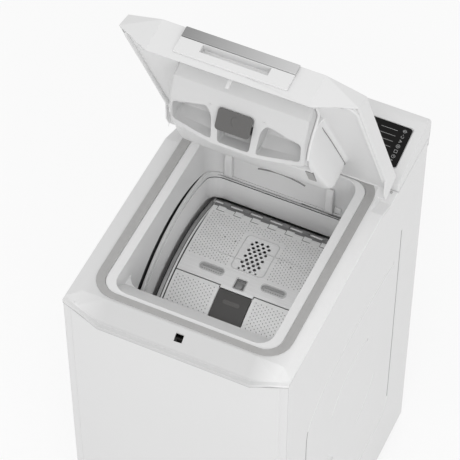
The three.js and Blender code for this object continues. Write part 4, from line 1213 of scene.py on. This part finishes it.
def makeDispenser():
    # The block: its lower lip bows down between the ends.
    rings = []
    edges = dispenser["edges"]
    for x in (*(-x for x in edges), 0, *edges[::-1]):
        k = min(1, max(0, (abs(x) - 35) / 84.5)) ** 1.25
        tuck = 3.5 if abs(x) > dispenser["hollow"] else 0
        mix = lambda a, b: a + (b - a) * k
        rings.append(addRing([(x, y, z) for y, z in (
            (mix(-118, -116) + tuck, mix(777, 792) + tuck),
            (-64, mix(795, 812)),
            (-64, 880), (-190 + tuck, 880),
            (-190 + tuck, 843 - tuck * 0.2),
            (mix(-178, -162) + tuck, mix(824, 813)),
        )]))
    block = bridged(rings)
    hollow = [(-187, 885), (-187, 868), (-139, 868), (-107, 841), (-107, 803), (-67, 817), (-67, 885)]
    combined(block, addOutline(hollow, "X", -dispenser["hollow"], dispenser["hollow"]))
    side = [(-109.8, 24), (-52, 9), (-42, 24), (-38.5, 69), (-109.8, 61)]
    middle = [(-30, 3), (30, 3), (29, 40), (27, 70), (-27, 70), (-29, 40)]
    bend = [6, 5, 12, 7, 6]
    for outline, radii in ((side, bend), (middle, [6, 6, 20, 6, 6, 20]), (mirrored(side), bend)):
        cutPocket(block, filleted(outline, radii, 5))
    eased(block, 1.1, 3, 32)
    for x in (-46, 46):
        dot = addRod((x, *blockFace(4, -1.2)), (x, *blockFace(4, 1)), 1.6, 12)
        block = joined([block, smooth(dot, 40, False)])
    swungOpen(block)
    settle(block, "dispenser_skin", "dispenser", "liner_plastic", "dispenser_body", finish=blockPlastic)


def makeLiquidFlap():
    top, foot = blockFace(1, -4), blockFace(34, -13)
    steep = math.atan2(foot[1] - top[1], foot[0] - top[0])
    lean = Matrix.Translation((0, *top)) @ Matrix.Rotation(steep, 4, "X")
    leaf = moved(addOutline(roundRect(-29.6, 29.6, -0.5, 36.5, 6), "Z", 0, 2), lean)
    arc = [(u, v, -0.1) for u, v in arcPoints(4, 15, 9, 120, 264, 12)]
    mark = smooth(moved(addTube(arc, 0.45), lean), 80, False)
    skinned(swungOpen(joined([eased(leaf, 0.7, 3, 40), mark])), "liquid_flap", flapPlastic)


def makeHandle():
    half = lidShell["handleHalf"]
    section = [lidFront(up, out) for up, out in ((42.8, 0.3), (62.3, 0.3), (62.3, 5.4), (42.8, 5.4))]
    bar = addOutline(filleted(section, [0, 0, 1.5, 1], 4), "X", -half, half)
    skinned(swungOpen(eased(bar, 0.5, 3, 40)), "handle_bar")
    plate = frontBar(half, 12.5, 42.4, 0.3, 4.3)
    combined(plate, frontBar(58.4, 24, 42.3, -12.5, 2), "UNION")
    combined(plate, frontSlab(56.5, (25.6, -11), (41, -11), (41, 8), (26, 8)))
    skinned(swungOpen(eased(plate, 0.7, 3, 32)), "handle_plate")


def bulgeHalf(y):
    # Half the width of the bulge's lower edge, wider towards the hinge and drawn in at its rear corner.
    wide = 121 + 15 * min(1, max(0, (y + 120) / 160)) ** 0.8
    return wide - 0.022 * max(0, y - 36) ** 2


def makeBulge():
    # The smooth cover round the block, as outlines across the lid joined from front to back.
    rings = []
    for y, low in (
        (-152, 846), (-146, 829), (-138, 816), (-118, 803), (-90, 800), (-60, 798.5), (-25, 798.5),
        (10, 800.5), (32, 804), (46, 809), (56, 817), (63, 828), (68, 842), (71, 858),
    ):
        half = bulgeHalf(y)
        seam = max(857, low + 2)
        side = [
            (half + 13, 868), (half + 12.5, 866), (half + 5, 864.6), (half + 2.4, seam + 4),
            (half + 1.8, seam), (half + 1.4, low + 0.6 * (seam - low)), (half, low + 0.2 * (seam - low)),
            (half - 3, low + 0.06 * (seam - low) + 0.9), (half - 9, low + 0.7), (half - 30, low),
            (half * 0.4, low - 1),
        ]
        rings.append(addRing([(x, y, z) for x, z in side + mirrored(side)]))
    return bridged(rings)


def makeLidLiner():
    x, rear = halfWidth - 3.3, 142.7
    right = [(134.5, frontY + 19), (x, frontY + 43), (x, rear)]
    piece = addOutline(filleted(mirrored(right) + right, [2, 6, 20, 20, 6, 2], 5), "Z", 866, 869)
    combined(piece, addBox((-62, frontY, 840), (62, frontY + 27, 900)))
    combined(piece, makeBulge(), "UNION")
    inner = dispenser["half"] - 3
    room = [(-190.5, 900), (-190.5, 842), (-178.5, 823), (-118.5, 775), (-63.5, 790), (-63.5, 900)]
    combined(piece, addOutline(room, "X", -inner, inner))
    skinned(swungOpen(eased(piece, 1.2, 3, 32)), "lid_liner")
    # Painted shadow lines along the bulge's sides and under its rear edge.
    lines = [
        addTube([(sign * (bulgeHalf(y) + 1.8), y, 857) for y in range(-130, 60, 6)], 0.75)
        for sign in (-1, 1)
    ]
    curve = [(x, 42.5 + 0.0016 * (x - 45) ** 2, 805.5 - 0.0022 * (45 - x) ** 2) for x in range(5, 90, 6)]
    lines.append(addTube(curve, 1.3))
    onLid(merged(lines), "bulge_shadow_lines", "seal_rubber", shadowGap)
    # The hatch's dark floor is painted shade under its bars.
    floor = addBox((107.5, -63.2, 798.4), (121, -23, 801.4))
    onLid(rounded(floor, 0.2, 2, 40), "hatch_floor", "seal_rubber", shadowGap)
    bars = [addBox((108, -62.4 + i * 4, 797.6), (120.5, -60 + i * 4, 798.8)) for i in range(10)]
    onLid(merged([rounded(bar, 0.3, 2, 40) for bar in bars], 40), "hatch_grille", "seal_rubber")
    onLid(makeLedge(), "lid_ledge", "liner_plastic")
    onLid(makeCheekRibs(), "bulge_ribs", "liner_plastic")


def makeLedge():
    # A rounded bead that fills the corner between the liner and the lid's front and side walls.
    x = halfWidth - 6.6
    path = [
        (-x, 100), (-x, -150), (-x, frontY + 48), (-176, frontY + 37.5), (-136, frontY + 23),
        (-62.5, frontY + 22.5),
    ]
    left = addTube([(a, b, 865.4) for a, b in filleted(path, [0, 0, 14, 10, 12, 0], 4)], 3.7, sides=12)
    return merged([left, mirroredX(left)])


def makeCheekRibs():
    # A rounded rib down each side of the block, where the bulge meets it.
    run = [(-188, 867), (-165, 866), (-156, 855), (-148, 836), (-138, 820), (-127, 809.5), (-117, 803.5)]
    ribs = [addTube([(x, y, z) for y, z in run], 2.5, sides=12) for x in (-118.7, 118.7)]
    return merged(ribs)


def makeThroatPegs():
    # Two rounded stops on the rear wall of the loading mouth, and a small plate beside one.
    for x, word in ((-101, "left"), (88, "right")):
        peg = addOutline(filleted([
            (132.8, 761.6), (132.8, 822), (128, 822), (123.4, 812), (122.4, 800), (122.4, 771), (127, 761.6),
        ], [0, 0, 3, 5, 5, 5, 3], 4), "X", x - 7, x + 7)
        settle(eased(peg, 2.4, 4, 40), "rear_stop_" + word, "cabinet", "liner_plastic")
    plate = addOutline(roundRect(97, 109, 768.6, 779, 2), "Y", 129.6, 132.8)
    settle(eased(plate, 0.8, 3, 40), "rear_stop_plate", "cabinet", "liner_plastic")


console = {
    "slopeY": (156.5, 278),
    "slopeZ": (863.5, 891),
    "glassHalf": 182,
    "glassY": (183.4, 260.6),
    "lift": -0.1,
    "ink": (0.02, 0.14),
    "lineX": (128, 158),
    "signX": 170,
}
consoleRise = (console["slopeZ"][1] - console["slopeZ"][0]) / (console["slopeY"][1] - console["slopeY"][0])
consoleLean = math.atan(consoleRise)

# Small general signs, as rings (height, radius, width, start, end) and bars. The empty one is the arrow head.
signs = (
    ([(0, 3.4, 0.7, 50, 310)], [(-0.35, 0.6, 0.35, 4)]),
    ([(0, 3.4, 0.7)], [(-0.3, 0, 0.3, 2.4), (0, -0.3, 2, 0.3)]),
    ([], [(-3, -3, 3, -2.3), (-3, 2.3, 3, 3), (-3, -3, -2.3, 3), (2.3, -3, 3, 3)]),
    ([(0, 3.6, 0.7), (0, 1.5, 0.6)], []),
    ([], []),
    ([(-1, 2.8, 0.7, 150, 390)], [(-0.35, 1, 0.35, 4)]),
    ([(0, 3, 0.7)], [(-4, -0.35, 4, 0.35)]),
)
arrowHead = ((-2.2, -3), (3, 0), (-2.2, 3), (-2.2, 1.6), (0.8, 0), (-2.2, -1.6))


def onConsole(y, lift):
    height = console["slopeZ"][0] + (y - console["slopeY"][0]) * consoleRise
    return Vector((0, y - lift * math.sin(consoleLean), height + lift * math.cos(consoleLean)))


def laidOnConsole(piece):
    # Brings a flat piece drawn on the floor plane (x, distance up the slope) onto the console's face.
    start = onConsole(console["glassY"][0], console["lift"])
    return moved(piece, Matrix.Translation(start) @ Matrix.Rotation(consoleLean, 4, "X"))


def addInk(u0, v0, u1, v1):
    low, high = console["ink"]
    return addBox((u0, v0, low), (u1, v1, high))


def flatRing(u, v, radius, width, start=0, end=360):
    # A printed ring or arc, as a thin flat band.
    steps = max(6, int((end - start) / 24))
    outer, inner = (arcPoints(u, v, size, start, end, steps) for size in (radius, radius - width))
    if end - start < 359:
        return addOutline(outer + inner[::-1], "Z", *console["ink"])
    return combined(addOutline(outer[:-1], "Z", *console["ink"]), addOutline(inner[:-1], "Z", -1, 1))


def makeSign(u, v, kind):
    rings, bars = signs[kind]
    made = [flatRing(u, v + up, *ring) for up, *ring in rings]
    made += [addInk(u + u0, v + v0, u + u1, v + v1) for u0, v0, u1, v1 in bars]
    return made or [addOutline([(u + a, v + b) for a, b in arrowHead], "Z", *console["ink"])]


def makeConsole():
    half = console["glassHalf"]
    length = (onConsole(console["glassY"][1], 0) - onConsole(console["glassY"][0], 0)).length
    glass = addOutline(roundRect(-half, half, 0, length, 6), "Z", -1.8, 0)
    skinned(laidOnConsole(eased(glass, 0.5, 3, 40)), "control_glass")
    window = addOutline(roundRect(-122, 122, 9, length - 9, 4), "Z", 0, 0.12)
    settle(laidOnConsole(window), "display_window", "cabinet", "panel_black", finish=displayGlass)
    marks = []
    for i in range(6):
        v = 12 + i * (length - 24) / 5
        for sign in (1, -1):
            u0, u1 = between(sign, *console["lineX"])
            marks.append(addInk(u0, v - 0.35, u1, v + 0.35))
    for i in range(len(signs)):
        v = 9 + i * (length - 18) / 6
        for sign in (1, -1):
            marks += makeSign(sign * console["signX"], v, i)
    settle(laidOnConsole(joined(marks)), "control_marks", "cabinet", "panel_black", finish=printWhite)


# A length in millimetres at each end of a soft piece, from which makeStretching works out ends that it does
# not use.
softEnds = {
    "mouth_bellows": 6,
    "spring_front_left": 14,
    "spring_front_right": 14,
    "spring_rear_left": 14,
    "spring_rear_right": 14,
    "sump_hose": 14,
}


def makeStretching():
    # Soft pieces between the cabinet and the tub, each a smooth copy tied to no body; the ends worked out for
    # it are not used.
    for node, edge in softEnds.items():
        low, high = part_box(node)
        ends = [(0, 0, high.z - edge / mm), (0, 0, low.z + edge / mm)]
        if node == "sump_hose":
            ends.reverse()
        piece = settle(smooth(copyNode(node), 40), node + "_skin", None, slotOf[node], node)
        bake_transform(piece)


softened("lid_outer", 0.9, 3, 12)
makeLidLiner()
makeThroatPegs()
makeDispenser()
makeLiquidFlap()
makeHandle()
makeConsole()
makeStretching()
print("lid and console made")
